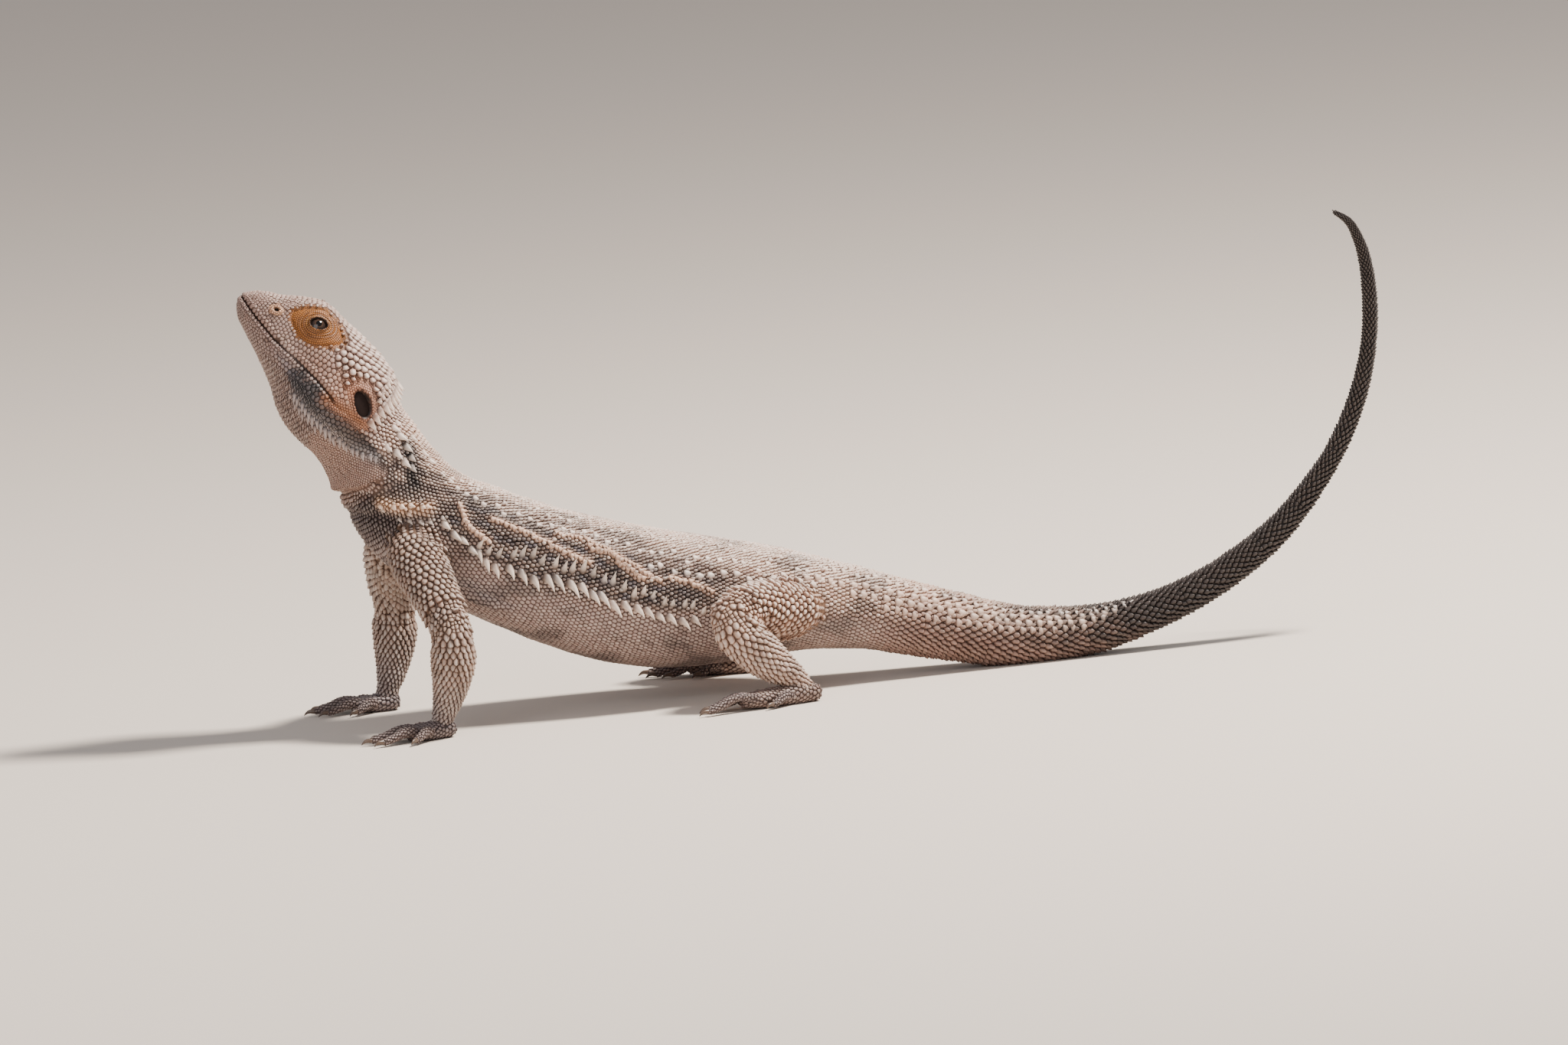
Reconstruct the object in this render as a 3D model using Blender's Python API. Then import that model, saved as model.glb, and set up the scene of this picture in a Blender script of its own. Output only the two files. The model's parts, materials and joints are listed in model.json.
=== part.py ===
"""A bearded dragon, life size, standing with its chest raised, its head tipped up and its tail curled.

Head at -X, tail at +X, floor at Z = 0, and the animal's left side at -Y. All tables are in millimetres.
The body is one row of cross-sections from the snout to the tip of the tail, parted at named places.
"""

import math

import bmesh
import bpy
import numpy as np
from mathutils import Matrix, Vector

MM = 0.001
GAP = 0.3  # between touching pieces
SEED = 11

# The head is a straight run of sections behind the tip of the mouth.
MOUTH_TIP = (-165.1, 128.6)
HEAD_PITCH = 54.2
HEAD_TURN = 8.0
TURN_ENDS_AT = -95.0

# Behind the tip: distance, top, bottom, half width, level of the widest line, squareness above and below
HEAD = (
    (0.9, 1.5, 1.2, 2.2, 0.2, 2.2, 2.2),
    (1.4, 2.9, 2.2, 3.5, 0.2, 2.3, 2.2),
    (2.0, 3.9, 2.9, 4.4, 0.1, 2.3, 2.2),
    (2.8, 4.9, 3.5, 5.2, 0.0, 2.4, 2.2),
    (4.3, 6.3, 4.6, 6.3, 0.0, 2.5, 2.2),
    (8.0, 9.1, 5.8, 7.9, 0.0, 2.6, 2.2),
    (12.5, 13.3, 6.9, 9.9, 0.0, 2.8, 2.2),
    (17.5, 16.6, 8.1, 12.0, 0.0, 2.9, 2.2),
    (22.0, 17.7, 9.4, 13.8, 0.0, 2.8, 2.2),
    (27.0, 18.2, 11.2, 15.8, -0.6, 2.6, 2.2),
    (32.0, 18.5, 13.4, 17.6, -1.2, 2.4, 2.3),
    (37.0, 18.9, 14.7, 18.9, -2.0, 2.3, 2.3),
    (42.0, 18.9, 14.7, 19.4, -2.6, 2.2, 2.3),
    (46.5, 18.4, 14.3, 18.9, -3.0, 2.2, 2.2),
    (50.0, 16.9, 14.0, 17.4, -3.0, 2.1, 2.1),
    (52.5, 15.0, 13.8, 16.0, -2.6, 2.0, 2.1),
    (55.5, 14.1, 13.9, 15.2, -2.0, 2.0, 2.0),
)
# Neck, trunk and tail: X and Z of the section's centre, top, bottom, half width
TRUNK = (
    (-129.5, 79.3, 13.6, 15.1, 14.8),
    (-125.0, 70.5, 14.8, 16.6, 15.4),
    (-119.3, 61.8, 16.0, 17.6, 16.6),
    (-111.5, 54.0, 18.2, 17.8, 18.8),
    (-101.0, 47.0, 19.6, 17.6, 21.0),
    (-90.0, 41.0, 20.6, 17.6, 23.0),
    (-78.0, 36.0, 21.2, 18.6, 24.8),
    (-65.0, 32.0, 21.1, 19.8, 26.0),
    (-50.0, 29.0, 20.0, 20.0, 26.0),
    (-35.0, 27.0, 18.5, 18.4, 24.2),
    (-20.0, 25.4, 16.3, 16.0, 20.4),
    (-6.0, 23.0, 14.0, 13.3, 17.0),
    (8.0, 20.0, 12.1, 11.6, 14.4),
    (22.0, 16.0, 10.7, 10.3, 12.4),
    (36.0, 12.4, 9.4, 9.8, 10.8),
    (50.0, 8.9, 8.3, 9.2, 9.4),
    (64.0, 7.7, 7.3, 8.0, 7.9),
    (78.0, 8.0, 6.4, 6.9, 6.7),
    (90.0, 10.0, 5.6, 5.5, 5.8),
    (100.0, 12.8, 5.1, 4.9, 5.2),
    (111.0, 17.2, 4.7, 4.5, 4.7),
    (121.5, 23.0, 4.4, 4.3, 4.3),
    (131.7, 30.0, 3.9, 3.9, 3.8),
    (141.8, 39.9, 3.3, 3.3, 3.2),
    (151.9, 52.7, 2.7, 2.7, 2.6),
    (160.2, 69.0, 2.4, 2.4, 2.3),
    (164.4, 84.0, 2.1, 2.1, 2.0),
    (165.5, 96.5, 2.0, 2.0, 1.8),
    (165.2, 105.0, 1.8, 1.8, 1.6),
    (163.6, 113.2, 1.5, 1.5, 1.3),
    (160.8, 119.2, 1.1, 1.1, 1.0),
    (156.9, 122.3, 0.6, 0.6, 0.6),
)
# Swellings on the head: distance behind the tip, height above the mouth line, their half length and
# half height, and how far they stand out
SWELLINGS = {
    "lids": (20.0, 11.0, 6.0, 4.4, 1.9),
    "brow": (21.0, 15.4, 7.5, 2.2, 0.8),
    "cheek": (37.0, -1.5, 7.0, 5.0, 0.9),
    "nose": (8.4, 5.4, 3.0, 2.0, 0.5),
    "temple": (33.0, 12.5, 6.5, 3.0, 0.7),
}

# Where the body is parted, as distances along it from the tip of the mouth
HEAD_ENDS = 54.0
NECK_ENDS = 83.0
TORSO_ENDS = 226.0
TAIL_CUTS = (292.0, 350.0, 408.0)

# Places on the side of the head are distances behind the tip and heights above the mouth line.
# Leans are measured from tailward towards upward.
EYE_PLACE = (20.2, 11.6)
EYE_RADIUS = 3.4
EYE_DEPTH = 4.0  # of its centre under the lids
LID_OPENING = (3.0, 2.6, 1.9)  # depth, half length, half width
LID_LEAN = 30.0
EAR_PLACE = (45.9, 7.4)
EAR_SIZE = (1.9, 4.1, 2.6)  # depth, half length, half width
EAR_LEAN = -18.0
DRUM_SHARE = 0.62  # of the pit's opening
DRUM_HALF_THICKNESS = 0.4
NOSTRIL_PLACE = (9.6, 5.7)
NOSTRIL_SIZE = (1.3, 0.85, 0.85)
MOUTH_ENDS = 39.0
MOUTH_GROOVE = 0.55
MOUTH_PLACES = 6
LIP_RADIUS = 0.95
LIP_HEIGHT = 1.3
LIP_SINK = 0.5

# Limb paths: X, Y outward from the middle, Z, half width, half depth
UPPER_ARM = (
    (-120.0, 4.0, 57.0, 9.0, 9.5),
    (-122.4, 12.0, 52.5, 8.8, 9.2),
    (-122.4, 20.0, 47.0, 7.6, 8.0),
    (-120.8, 28.5, 40.5, 6.4, 6.8),
    (-118.8, 34.5, 34.0, 5.8, 6.2),
    (-118.0, 37.0, 30.0, 5.4, 5.8),
)
FOREARM = (
    (-118.6, 37.4, 33.0, 5.2, 5.4),
    (-118.2, 37.9, 27.5, 5.9, 6.3),
    (-118.6, 38.0, 21.5, 5.9, 6.2),
    (-119.8, 37.2, 14.5, 4.9, 5.1),
    (-121.6, 36.0, 8.0, 3.7, 3.7),
    (-123.0, 35.6, 4.2, 3.0, 3.0),
)
PALM = (
    (-121.0, 35.4, 2.6, 3.3, 2.5),
    (-124.0, 35.8, 2.5, 4.2, 2.7),
    (-128.0, 36.6, 2.2, 4.7, 2.5),
    (-131.6, 37.4, 1.9, 4.2, 2.1),
)
THIGH = (
    (-10.0, 3.0, 22.5, 9.0, 11.0),
    (-14.5, 12.0, 24.0, 9.0, 10.6),
    (-21.0, 21.0, 25.6, 8.4, 9.4),
    (-29.5, 29.5, 27.0, 7.4, 8.2),
    (-35.5, 35.5, 26.9, 6.6, 7.2),
)
SHANK = (
    (-37.6, 36.8, 27.4, 5.4, 5.8),
    (-35.2, 37.8, 22.4, 6.4, 6.6),
    (-30.4, 38.6, 16.4, 6.2, 6.4),
    (-24.8, 38.8, 11.2, 5.0, 5.2),
    (-19.6, 38.6, 6.8, 3.6, 3.7),
    (-17.6, 38.5, 4.6, 3.0, 3.1),
)
SOLE = (
    (-14.4, 38.2, 2.6, 2.9, 2.6),
    (-18.0, 38.6, 2.9, 3.8, 3.2),
    (-25.0, 40.2, 2.6, 3.9, 2.9),
    (-31.5, 42.2, 2.6, 4.3, 2.4),
    (-35.5, 43.4, 2.6, 3.6, 2.0),
)
RIGHT_ARM_SHIFT = -4.6
# Digits: start along and across the foot, heading outward in degrees, length, how high the knuckle arches
FINGERS = (
    (-126.5, 33.0, -38.0, 8.0, 0.6),
    (-130.0, 35.2, -14.0, 10.8, 0.9),
    (-131.2, 37.2, 4.0, 12.4, 1.0),
    (-130.4, 39.4, 22.0, 11.6, 0.9),
    (-127.0, 40.0, 52.0, 8.4, 0.6),
)
TOES = (
    (-28.0, 38.0, -26.0, 7.0, 0.8),
    (-32.0, 41.2, -8.0, 10.0, 1.4),
    (-33.2, 43.2, 4.0, 12.6, 2.0),
    (-32.2, 45.2, 16.0, 15.4, 2.4),
    (-21.0, 41.6, 40.0, 9.0, 0.8),
)
DIGIT_RADII = (1.55, 1.0)
CLAW_LENGTH = 3.2
CLAW_RADIUS = 0.75

# Rows of spines: from and to along the body, angle from the back's middle at both ends,
# how many, height, root radius, how far they lean over, and how far that lean turns from tailward to down
TORSO_SPINES = {
    "flank low": (87.0, 164.0, 84.0, 97.0, 14, 5.0, 1.5, 54.0, 45.0),
    "flank high": (98.0, 160.0, 74.0, 86.0, 11, 3.6, 1.3, 46.0, -45.0),
    "back outer": (94.0, 200.0, 46.0, 56.0, 9, 1.8, 1.6, 45.0, 0.0),
    "back inner": (90.0, 206.0, 24.0, 26.0, 8, 1.6, 1.6, 45.0, 0.0),
}
TAIL_SPINES = {
    "tail side": (230.0, 286.0, 62.0, 60.0, 7, 1.8, 1.8, 55.0, 0.0),
    "tail back": (234.0, 282.0, 30.0, 30.0, 5, 1.5, 1.6, 55.0, 0.0),
}
NECK_SPINES = {
    "nape high": (58.0, 77.0, 34.0, 34.0, 4, 2.2, 1.3, 35.0, 0.0),
    "nape low": (57.0, 71.0, 70.0, 64.0, 4, 3.0, 1.4, 35.0, 0.0),
}
HEAD_SPINES = {
    "crown edge": (50.0, 49.0, 6.0, 60.0, 6, 3.6, 1.4, 66.0, 0.0),
    "crown inner": (44.5, 45.0, 14.0, 50.0, 4, 2.0, 1.4, 60.0, 0.0),
}
JAW_SPINES = {
    "jaw edge": (34.0, 50.5, 108.0, 102.0, 6, 3.6, 1.5, 60.0, 10.0),
    "beard high": (28.0, 49.0, 126.0, 122.0, 6, 3.0, 1.4, 62.0, 0.0),
    "beard low": (24.0, 46.0, 148.0, 146.0, 4, 2.4, 1.3, 64.0, 0.0),
}
FOLD = ((72.5, 122.0), (75.0, 100.0), (78.5, 80.0))  # along the body, angle from the back's middle
FOLD_PIECES = 4
FOLD_RADIUS = 1.7
# Spines along it: how many, height, root radius, how far they stand off, lean and its turn
FOLD_SPINES = (4, 2.8, 1.2, 0.7, 55.0, -20.0)
THIGH_SPINES = (0.46, 0.8, 6, 1.9, 1.4)  # from and to along the thigh, how many, height, root radius
SPINE_CLEARANCE = 3.2  # from a limb's skin to the middle of a spine's root

DOME_SCALE = 0.68
DOME_RISE = 0.74

COLOURS = {
    "head skin": ((0.46, 0.36, 0.28), 0.75),
    "beard skin": ((0.27, 0.25, 0.26), 0.75),
    "back skin": ((0.47, 0.38, 0.31), 0.8),
    "limb skin": ((0.42, 0.33, 0.26), 0.8),
    "dark tail skin": ((0.06, 0.035, 0.03), 0.75),
    "eye": ((0.09, 0.055, 0.03), 0.15),
    "eardrum": ((0.07, 0.04, 0.035), 0.6),
}


def smooth(knots, values, at):
    """Values at a place along a row of knots, on a curve that passes through them all."""
    knots, values, at = np.asarray(knots, float), np.asarray(values, float), np.asarray(at, float)
    slopes = np.gradient(values, knots, axis=0)
    i = np.clip(np.searchsorted(knots, at) - 1, 0, len(knots) - 2)
    step = knots[i + 1] - knots[i]
    t = (at - knots[i]) / step
    if values.ndim > 1:
        step, t = step[..., None], t[..., None]
    start, end = values[i], values[i + 1]
    return (
        (1 + 2 * t) * (1 - t) ** 2 * start
        + t * (1 - t) ** 2 * step * slopes[i]
        + t * t * (3 - 2 * t) * end
        - t * t * (1 - t) * step * slopes[i + 1]
    )


class Body:
    """The row of cross-sections from the snout to the tip of the tail."""

    def __init__(self):
        pitch = math.radians(HEAD_PITCH)
        back = np.array((math.cos(pitch), -math.sin(pitch)))
        rows = [(*(MOUTH_TIP + back * h[0]), *h[1:]) for h in HEAD]
        rows += [(x, z, top, bottom, half, 0.0, 2.1, 2.1) for x, z, top, bottom, half in TRUNK]
        rows = np.array(rows)
        steps = np.hypot(*np.diff(rows[:, :2], axis=0).T)
        self.knots = HEAD[0][0] + np.concatenate([[0], np.cumsum(steps)])
        self.start, self.end = self.knots[0], self.knots[-1]
        self.line = rows[:, :2]
        self.sizes = rows[:, 2:]
        turn = math.radians(HEAD_TURN) * np.clip((TURN_ENDS_AT - rows[:, 0]) / 30.0, 0, 1)
        self.turn = turn
        ahead = np.concatenate([np.cumsum((turn[1:] * np.diff(rows[:, 0]))[::-1])[::-1], [0]])
        self.aside = ahead

    def frame(self, s):
        """Centre, side, up and axis at a distance along the body, in millimetres."""
        x, z = smooth(self.knots, self.line, s)
        before, after = smooth(self.knots, self.line, np.array((s - 0.5, s + 0.5)))
        axis_x, axis_z = (after - before) / np.linalg.norm(after - before)
        turn = smooth(self.knots, self.turn, s)
        side = np.array((math.sin(turn), math.cos(turn), 0))
        axis = np.array((axis_x * math.cos(turn), -axis_x * math.sin(turn), axis_z))
        centre = np.array((x, smooth(self.knots, self.aside, s), z))
        return centre, side, np.cross(axis, side), axis

    def reaches(self, height):
        """Where the snout first takes in a height above the mouth line."""
        for s in np.arange(self.start, HEAD_ENDS, 0.1):
            top, bottom = smooth(self.knots, self.sizes, s)[:2]
            if -bottom < height < top:
                break
        return s

    def angle_at(self, s, height):
        """The angle from the back's middle at which the section has this height above its centre."""
        top, bottom, _, level, above, below = smooth(self.knots, self.sizes, s)
        if height >= level:
            return math.degrees(math.acos(min(1, (height - level) / (top - level)) ** (above / 2)))
        return 180 - math.degrees(math.acos(min(1, (level - height) / (bottom + level)) ** (below / 2)))

    def point(self, s, degrees, grown=0.0):
        """A point of the surface, at an angle from the back's middle; negative angles are the left side."""
        top, bottom, half, level, above, below = smooth(self.knots, self.sizes, s)
        top, bottom, half = top + grown, bottom + grown, half + grown
        angle = math.radians(degrees)
        c, w = math.cos(angle), math.sin(angle)
        power = 2 / (above if c > 0 else below)
        reach = (top - level) if c > 0 else (bottom + level)
        across = math.copysign(abs(w) ** power, w) * half
        up_by = level + math.copysign(abs(c) ** power, c) * reach
        if s < HEAD_ENDS + 2:
            away = math.hypot(across, up_by - level) or 1
            out = self.relief(s, up_by) * abs(math.sin(angle)) ** 0.5
            across += across / away * out
            up_by += (up_by - level) / away * out
        centre, side, up, _ = self.frame(s)
        return centre + side * across + up * up_by

    def relief(self, s, height):
        """How far the head's swellings stand out at a place on its side."""
        return sum(
            out * math.exp(-(((s - along) / length) ** 2) - ((height - level) / tall) ** 2)
            for along, level, length, tall, out in SWELLINGS.values()
        )

    def normal(self, s, degrees):
        """The way out of the surface at a point."""
        along = self.point(s + 0.4, degrees) - self.point(s - 0.4, degrees)
        around = self.point(s, degrees + 1.5) - self.point(s, degrees - 1.5)
        out = np.cross(along, around)
        return out / np.linalg.norm(out)


class Limb:
    """A chain of oval sections along a path, on one side of the body."""

    def __init__(self, rows, sign, shift=0.0):
        rows = np.array(rows, float)
        rows[:, 0] += shift
        rows[:, 1] *= sign
        steps = np.linalg.norm(np.diff(rows[:, :3], axis=0), axis=1)
        self.knots = np.concatenate([[0], np.cumsum(steps)])
        self.path, self.sizes = rows[:, :3], rows[:, 3:]
        self.length, self.sign = self.knots[-1], sign

    def frame(self, s):
        """Centre, side, up and axis at a distance along the limb."""
        centre = smooth(self.knots, self.path, s)
        before, after = smooth(self.knots, self.path, np.array((s - 0.3, s + 0.3)))
        axis = (after - before) / np.linalg.norm(after - before)
        ahead = np.array((-1.0, 0, 0)) if abs(axis[0]) < 0.8 else np.array((0, 0, 1.0))
        side = np.cross(axis, ahead)
        side /= np.linalg.norm(side)
        return centre, side, np.cross(axis, side), axis

    def holds(self, place, margin):
        """Whether a place lies inside the limb or closer to it than a margin."""
        for s in np.linspace(0, self.length, 16):
            thick = max(smooth(self.knots, self.sizes, s))
            if np.linalg.norm(place - smooth(self.knots, self.path, s)) < thick + margin:
                return True
        return False

    def point(self, s, degrees, grown=0.0):
        """A point of the limb's surface."""
        across, deep = smooth(self.knots, self.sizes, s) + grown
        centre, side, up, _ = self.frame(s)
        angle = math.radians(degrees)
        return centre + side * across * math.sin(angle) + up * deep * math.cos(angle)


def skin_rings(rings, cap_out=()):
    """A bmesh of closed rings joined in order, with flat or domed ends."""
    mesh = bmesh.new()
    made = [[mesh.verts.new(Vector(p) * MM) for p in ring] for ring in rings]
    for ring, following in zip(made, made[1:]):
        count = len(ring)
        for i in range(count):
            j = (i + 1) % count
            mesh.faces.new((ring[i], ring[j], following[j], following[i]))
    for ring, tip in ((made[0], 0), (made[-1], 1)):
        centre = sum((v.co for v in ring), Vector()) / len(ring)
        if cap_out:
            centre += Vector(cap_out[tip]) * MM
        middle = mesh.verts.new(centre)
        for i in range(len(ring)):
            mesh.faces.new((ring[i], ring[(i + 1) % len(ring)], middle))
    bmesh.ops.recalc_face_normals(mesh, faces=mesh.faces)
    return mesh


def add_object(name, mesh, colour="back skin"):
    """A named object of a bmesh, in the part's collection, with its material."""
    data = bpy.data.meshes.new(name)
    bmesh.ops.triangulate(mesh, faces=mesh.faces)
    mesh.to_mesh(data)
    mesh.free()
    data.materials.append(material(colour))
    made = bpy.data.objects.new(name, data)
    bpy.context.scene.collection.objects.link(made)
    return made


def material(name):
    """A Principled material, made once for each colour."""
    found = bpy.data.materials.get(name)
    if found:
        return found
    made = bpy.data.materials.new(name)
    made.use_nodes = True
    shader = made.node_tree.nodes["Principled BSDF"]
    colour, rough = COLOURS[name]
    shader.inputs["Base Color"].default_value = (*colour, 1)
    shader.inputs["Roughness"].default_value = rough
    shader.inputs["Metallic"].default_value = 0
    return made


def loft_body(name, start, end, step, around, colour="back skin", grown=0.0, bunch=1.0):
    """A stretch of the body between two cross-sections, its rings bunched towards the first of them."""
    count = max(2, round((end - start) / step) + 1)
    angles = [360 * i / around - 180 for i in range(around)]
    places = start + (end - start) * np.linspace(0, 1, count) ** bunch
    rings = [[BODY.point(s, a, grown) for a in angles] for s in places]
    caps = [(0, 0, 0), (0, 0, 0)]
    if start <= BODY.start:
        caps[0] = -BODY.frame(start)[3] * 0.5
    if end >= BODY.end:
        caps[1] = BODY.frame(end)[3] * 0.6
    return add_object(name, skin_rings(rings, caps), colour)


def loft_limb(name, limb, step=4.4, around=10, grown=0.0, dome=0.8):
    """A limb piece with domed ends, or with plain ones where there is no dome."""
    count = max(3, round(limb.length / step) + 1)
    angles = [360 * i / around for i in range(around)]
    rings = [[limb.point(s, a, grown) for a in angles] for s in np.linspace(0, limb.length, count)]
    ends = []
    for s, way in ((0, -1), (limb.length, 1)):
        centre, _, _, axis = limb.frame(s)
        reach = axis * way * (min(smooth(limb.knots, limb.sizes, s)) * dome + grown)
        last = rings[0 if way < 0 else -1]
        ring = [centre + (p - centre) * DOME_SCALE + reach * DOME_RISE for p in last]
        ends.append((ring, reach * (1 - DOME_RISE)))
    if not dome:
        return add_object(name, skin_rings(rings), "limb skin")
    rings = [ends[0][0], *rings, ends[1][0]]
    return add_object(name, skin_rings(rings, (ends[0][1], ends[1][1])), "limb skin")


def boolean(target, others, operation, solver="EXACT"):
    """Joins other closed pieces to a piece, or cuts them from it, and removes them."""
    group = bpy.data.collections.new("operands")
    bpy.context.scene.collection.children.link(group)
    for other in others:
        bpy.context.scene.collection.objects.unlink(other)
        group.objects.link(other)
    step = target.modifiers.new(operation.title(), "BOOLEAN")
    step.operation = operation
    step.operand_type = "COLLECTION"
    step.collection = group
    step.solver = solver
    bpy.context.view_layer.update()
    graph = bpy.context.evaluated_depsgraph_get()
    result = bpy.data.meshes.new_from_object(target.evaluated_get(graph))
    target.modifiers.remove(step)
    old, target.data = target.data, result
    bpy.data.meshes.remove(old)
    for other in others:
        bpy.data.objects.remove(other)
    bpy.data.collections.remove(group)
    keep_largest(target)


def keep_largest(target):
    """Keeps only the largest closed surface of an object."""
    mesh = bmesh.new()
    mesh.from_mesh(target.data)
    bmesh.ops.remove_doubles(mesh, verts=mesh.verts, dist=0.000001)
    bmesh.ops.dissolve_degenerate(mesh, edges=mesh.edges, dist=0.0000005)
    left, shells = set(mesh.verts), []
    while left:
        stack, shell = [left.pop()], []
        while stack:
            vertex = stack.pop()
            shell.append(vertex)
            for edge in vertex.link_edges:
                other = edge.other_vert(vertex)
                if other in left:
                    left.remove(other)
                    stack.append(other)
        shells.append(shell)
    shells.sort(key=len, reverse=True)
    for shell in shells[1:]:
        bmesh.ops.delete(mesh, geom=shell, context="VERTS")
    mesh.to_mesh(target.data)
    mesh.free()


def turned(direction):
    """A rotation that points +Z along a direction."""
    return Vector(direction).to_track_quat("Z", "Y").to_matrix().to_4x4()


def add_cone(place, direction, height, radius, sides=5, root=0.45):
    """A spine or claw, sunk into what it grows from by a share of its height."""
    mesh = bmesh.new()
    whole = height * (1 + root)
    bmesh.ops.create_cone(
        mesh,
        cap_ends=True,
        segments=sides,
        radius1=radius * MM * (1 + root * 0.6),
        radius2=0,
        depth=whole * MM,
    )
    bmesh.ops.translate(mesh, verts=mesh.verts, vec=(0, 0, (whole / 2 - height * root) * MM))
    move = Matrix.Translation(Vector(place) * MM) @ turned(direction)
    bmesh.ops.transform(mesh, verts=mesh.verts, matrix=move)
    return add_object("spine", mesh)


def add_ball(place, axes, sizes, segments=16, rings=10, name="ball", colour="back skin"):
    """An ellipsoid with three half sizes along three given axes."""
    mesh = bmesh.new()
    bmesh.ops.create_uvsphere(mesh, u_segments=segments, v_segments=rings, radius=MM)
    turn = Matrix([[*row] for row in np.array(axes).T]).to_4x4()
    move = Matrix.Translation(Vector(place) * MM) @ turn @ Matrix.Diagonal((*sizes, 1))
    bmesh.ops.transform(mesh, verts=mesh.verts, matrix=move)
    bmesh.ops.recalc_face_normals(mesh, faces=mesh.faces)
    return add_object(name, mesh, colour)


def add_tube(points, radius, sides=2):
    """A closed round tube through points, as a mesh."""
    curve = bpy.data.curves.new("tube", "CURVE")
    curve.dimensions = "3D"
    curve.bevel_depth = radius * MM
    curve.bevel_resolution = sides - 1
    curve.use_fill_caps = True
    line = curve.splines.new("POLY")
    line.points.add(len(points) - 1)
    for target, point in zip(line.points, points):
        target.co = (*(Vector(point) * MM), 1)
    rod = bpy.data.objects.new("tube", curve)
    bpy.context.scene.collection.objects.link(rod)
    bpy.context.view_layer.update()
    data = bpy.data.meshes.new_from_object(rod.evaluated_get(bpy.context.evaluated_depsgraph_get()))
    bpy.data.objects.remove(rod)
    mesh = bmesh.new()
    mesh.from_mesh(data)
    bpy.data.meshes.remove(data)
    bmesh.ops.remove_doubles(mesh, verts=mesh.verts, dist=0.00001)
    bmesh.ops.recalc_face_normals(mesh, faces=mesh.faces)
    return add_object("tube", mesh)


def add_slab(origin, along, across, thin, sizes):
    """A box with given half sizes along three directions."""
    mesh = bmesh.new()
    bmesh.ops.create_cube(mesh, size=2)
    turn = Matrix([[*row] for row in np.array((along, across, thin)).T]).to_4x4()
    move = Matrix.Translation(Vector(origin) * MM) @ turn @ Matrix.Diagonal((*(s * MM for s in sizes), 1))
    bmesh.ops.transform(mesh, verts=mesh.verts, matrix=move)
    bmesh.ops.recalc_face_normals(mesh, faces=mesh.faces)
    return add_object("slab", mesh)


def floor_box():
    """The solid floor, which flattens what stands on it."""
    return add_slab((0, 0, -20), (1, 0, 0), (0, 1, 0), (0, 0, 1), (260, 120, 20))


def limb_roots():
    """The parts of the limbs that leave the body."""
    return [Limb(rows, sign) for rows in (UPPER_ARM, THIGH) for sign in (-1, 1)]


def lean_over(s, angle, lean, drop):
    """The direction of a spine that leans from the surface's normal towards the tail and down the side."""
    out, axis = BODY.normal(s, angle), BODY.frame(s)[3]
    down = np.cross(axis, out) * math.copysign(1, angle)
    lean, drop = math.radians(lean), math.radians(drop)
    return out * math.cos(lean) + (axis * math.cos(drop) - down * math.sin(drop)) * math.sin(lean)


def spine_row(row, draw):
    """Spines along both sides of the body, between two places and two angles."""
    start, end, angle_start, angle_end, count, height, radius, lean, drop = row
    made = []
    for i in range(count):
        share = i / (count - 1)
        swell = 0.55 + 0.45 * math.sin(math.pi * min(1, share * 1.25 + 0.12))
        for sign in (-1, 1):
            s = start + (end - start) * share + draw.uniform(-0.5, 0.5)
            angle = sign * (angle_start + (angle_end - angle_start) * share + draw.uniform(-1.2, 1.2))
            tall = height * swell * draw.uniform(0.88, 1.12)
            place = BODY.point(s, angle)
            if any(limb.holds(place, SPINE_CLEARANCE) for limb in limb_roots()):
                continue
            direction = lean_over(s, angle, lean, drop)
            made.append(add_cone(place, direction, tall, radius * (0.7 + 0.3 * swell)))
    return made


def shoulder_fold(sign, draw):
    """The raised fold of skin in front of a shoulder, with pale spines along it."""
    places = np.linspace(0, 1, FOLD_PIECES)
    rows = []
    for t in places:
        s, angle = smooth((0, 0.5, 1), FOLD, t)
        thick = FOLD_RADIUS * (0.45 + 0.55 * math.sin(math.pi * t))
        rows.append((*BODY.point(s, sign * angle, -FOLD_RADIUS * 0.2), thick, thick))
    made = [loft_limb("fold", Limb(rows, 1), 4.0, 8)]
    count, height, radius, off, lean, drop = FOLD_SPINES
    for t in np.linspace(0.2, 0.9, count):
        s, angle = smooth((0, 0.5, 1), FOLD, t)
        direction = lean_over(s, sign * angle, lean, drop)
        tall = height * draw.uniform(0.9, 1.1)
        made.append(add_cone(BODY.point(s, sign * angle, off), direction, tall, radius))
    return made


def rows_of_spines(target, rows, draw):
    """Joins every row of a node's spines to it."""
    boolean(target, [spine for row in rows.values() for spine in spine_row(row, draw)], "UNION")


def side_frame(place, sign):
    """Point, outward normal, tailward and upward directions on the side of the head."""
    s, height = place
    angle = sign * BODY.angle_at(s, height)
    out = BODY.normal(s, angle)
    back = BODY.frame(s)[3]
    back = back - out * back.dot(out)
    back /= np.linalg.norm(back)
    up = np.cross(back, out) * sign
    return BODY.point(s, angle), out, back, up


def leaned(back, rise, degrees):
    """Two directions of a head's side, turned from tailward towards upward."""
    turn = math.radians(degrees)
    return back * math.cos(turn) + rise * math.sin(turn), rise * math.cos(turn) - back * math.sin(turn)


def mouth_line(height, ends, sink=0.0):
    """A line round the snout at one height above the mouth, from one corner to the other."""
    front = BODY.reaches(height)
    places = [*np.linspace(ends, front + 2.2, MOUTH_PLACES), front + 0.5]
    left = [BODY.point(s, -BODY.angle_at(s, height), -sink) for s in places]
    right = [BODY.point(s, BODY.angle_at(s, height), -sink) for s in reversed(places)]
    centre, _, up, axis = BODY.frame(front)
    return [*left, centre + axis * sink + up * height, *right]


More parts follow.
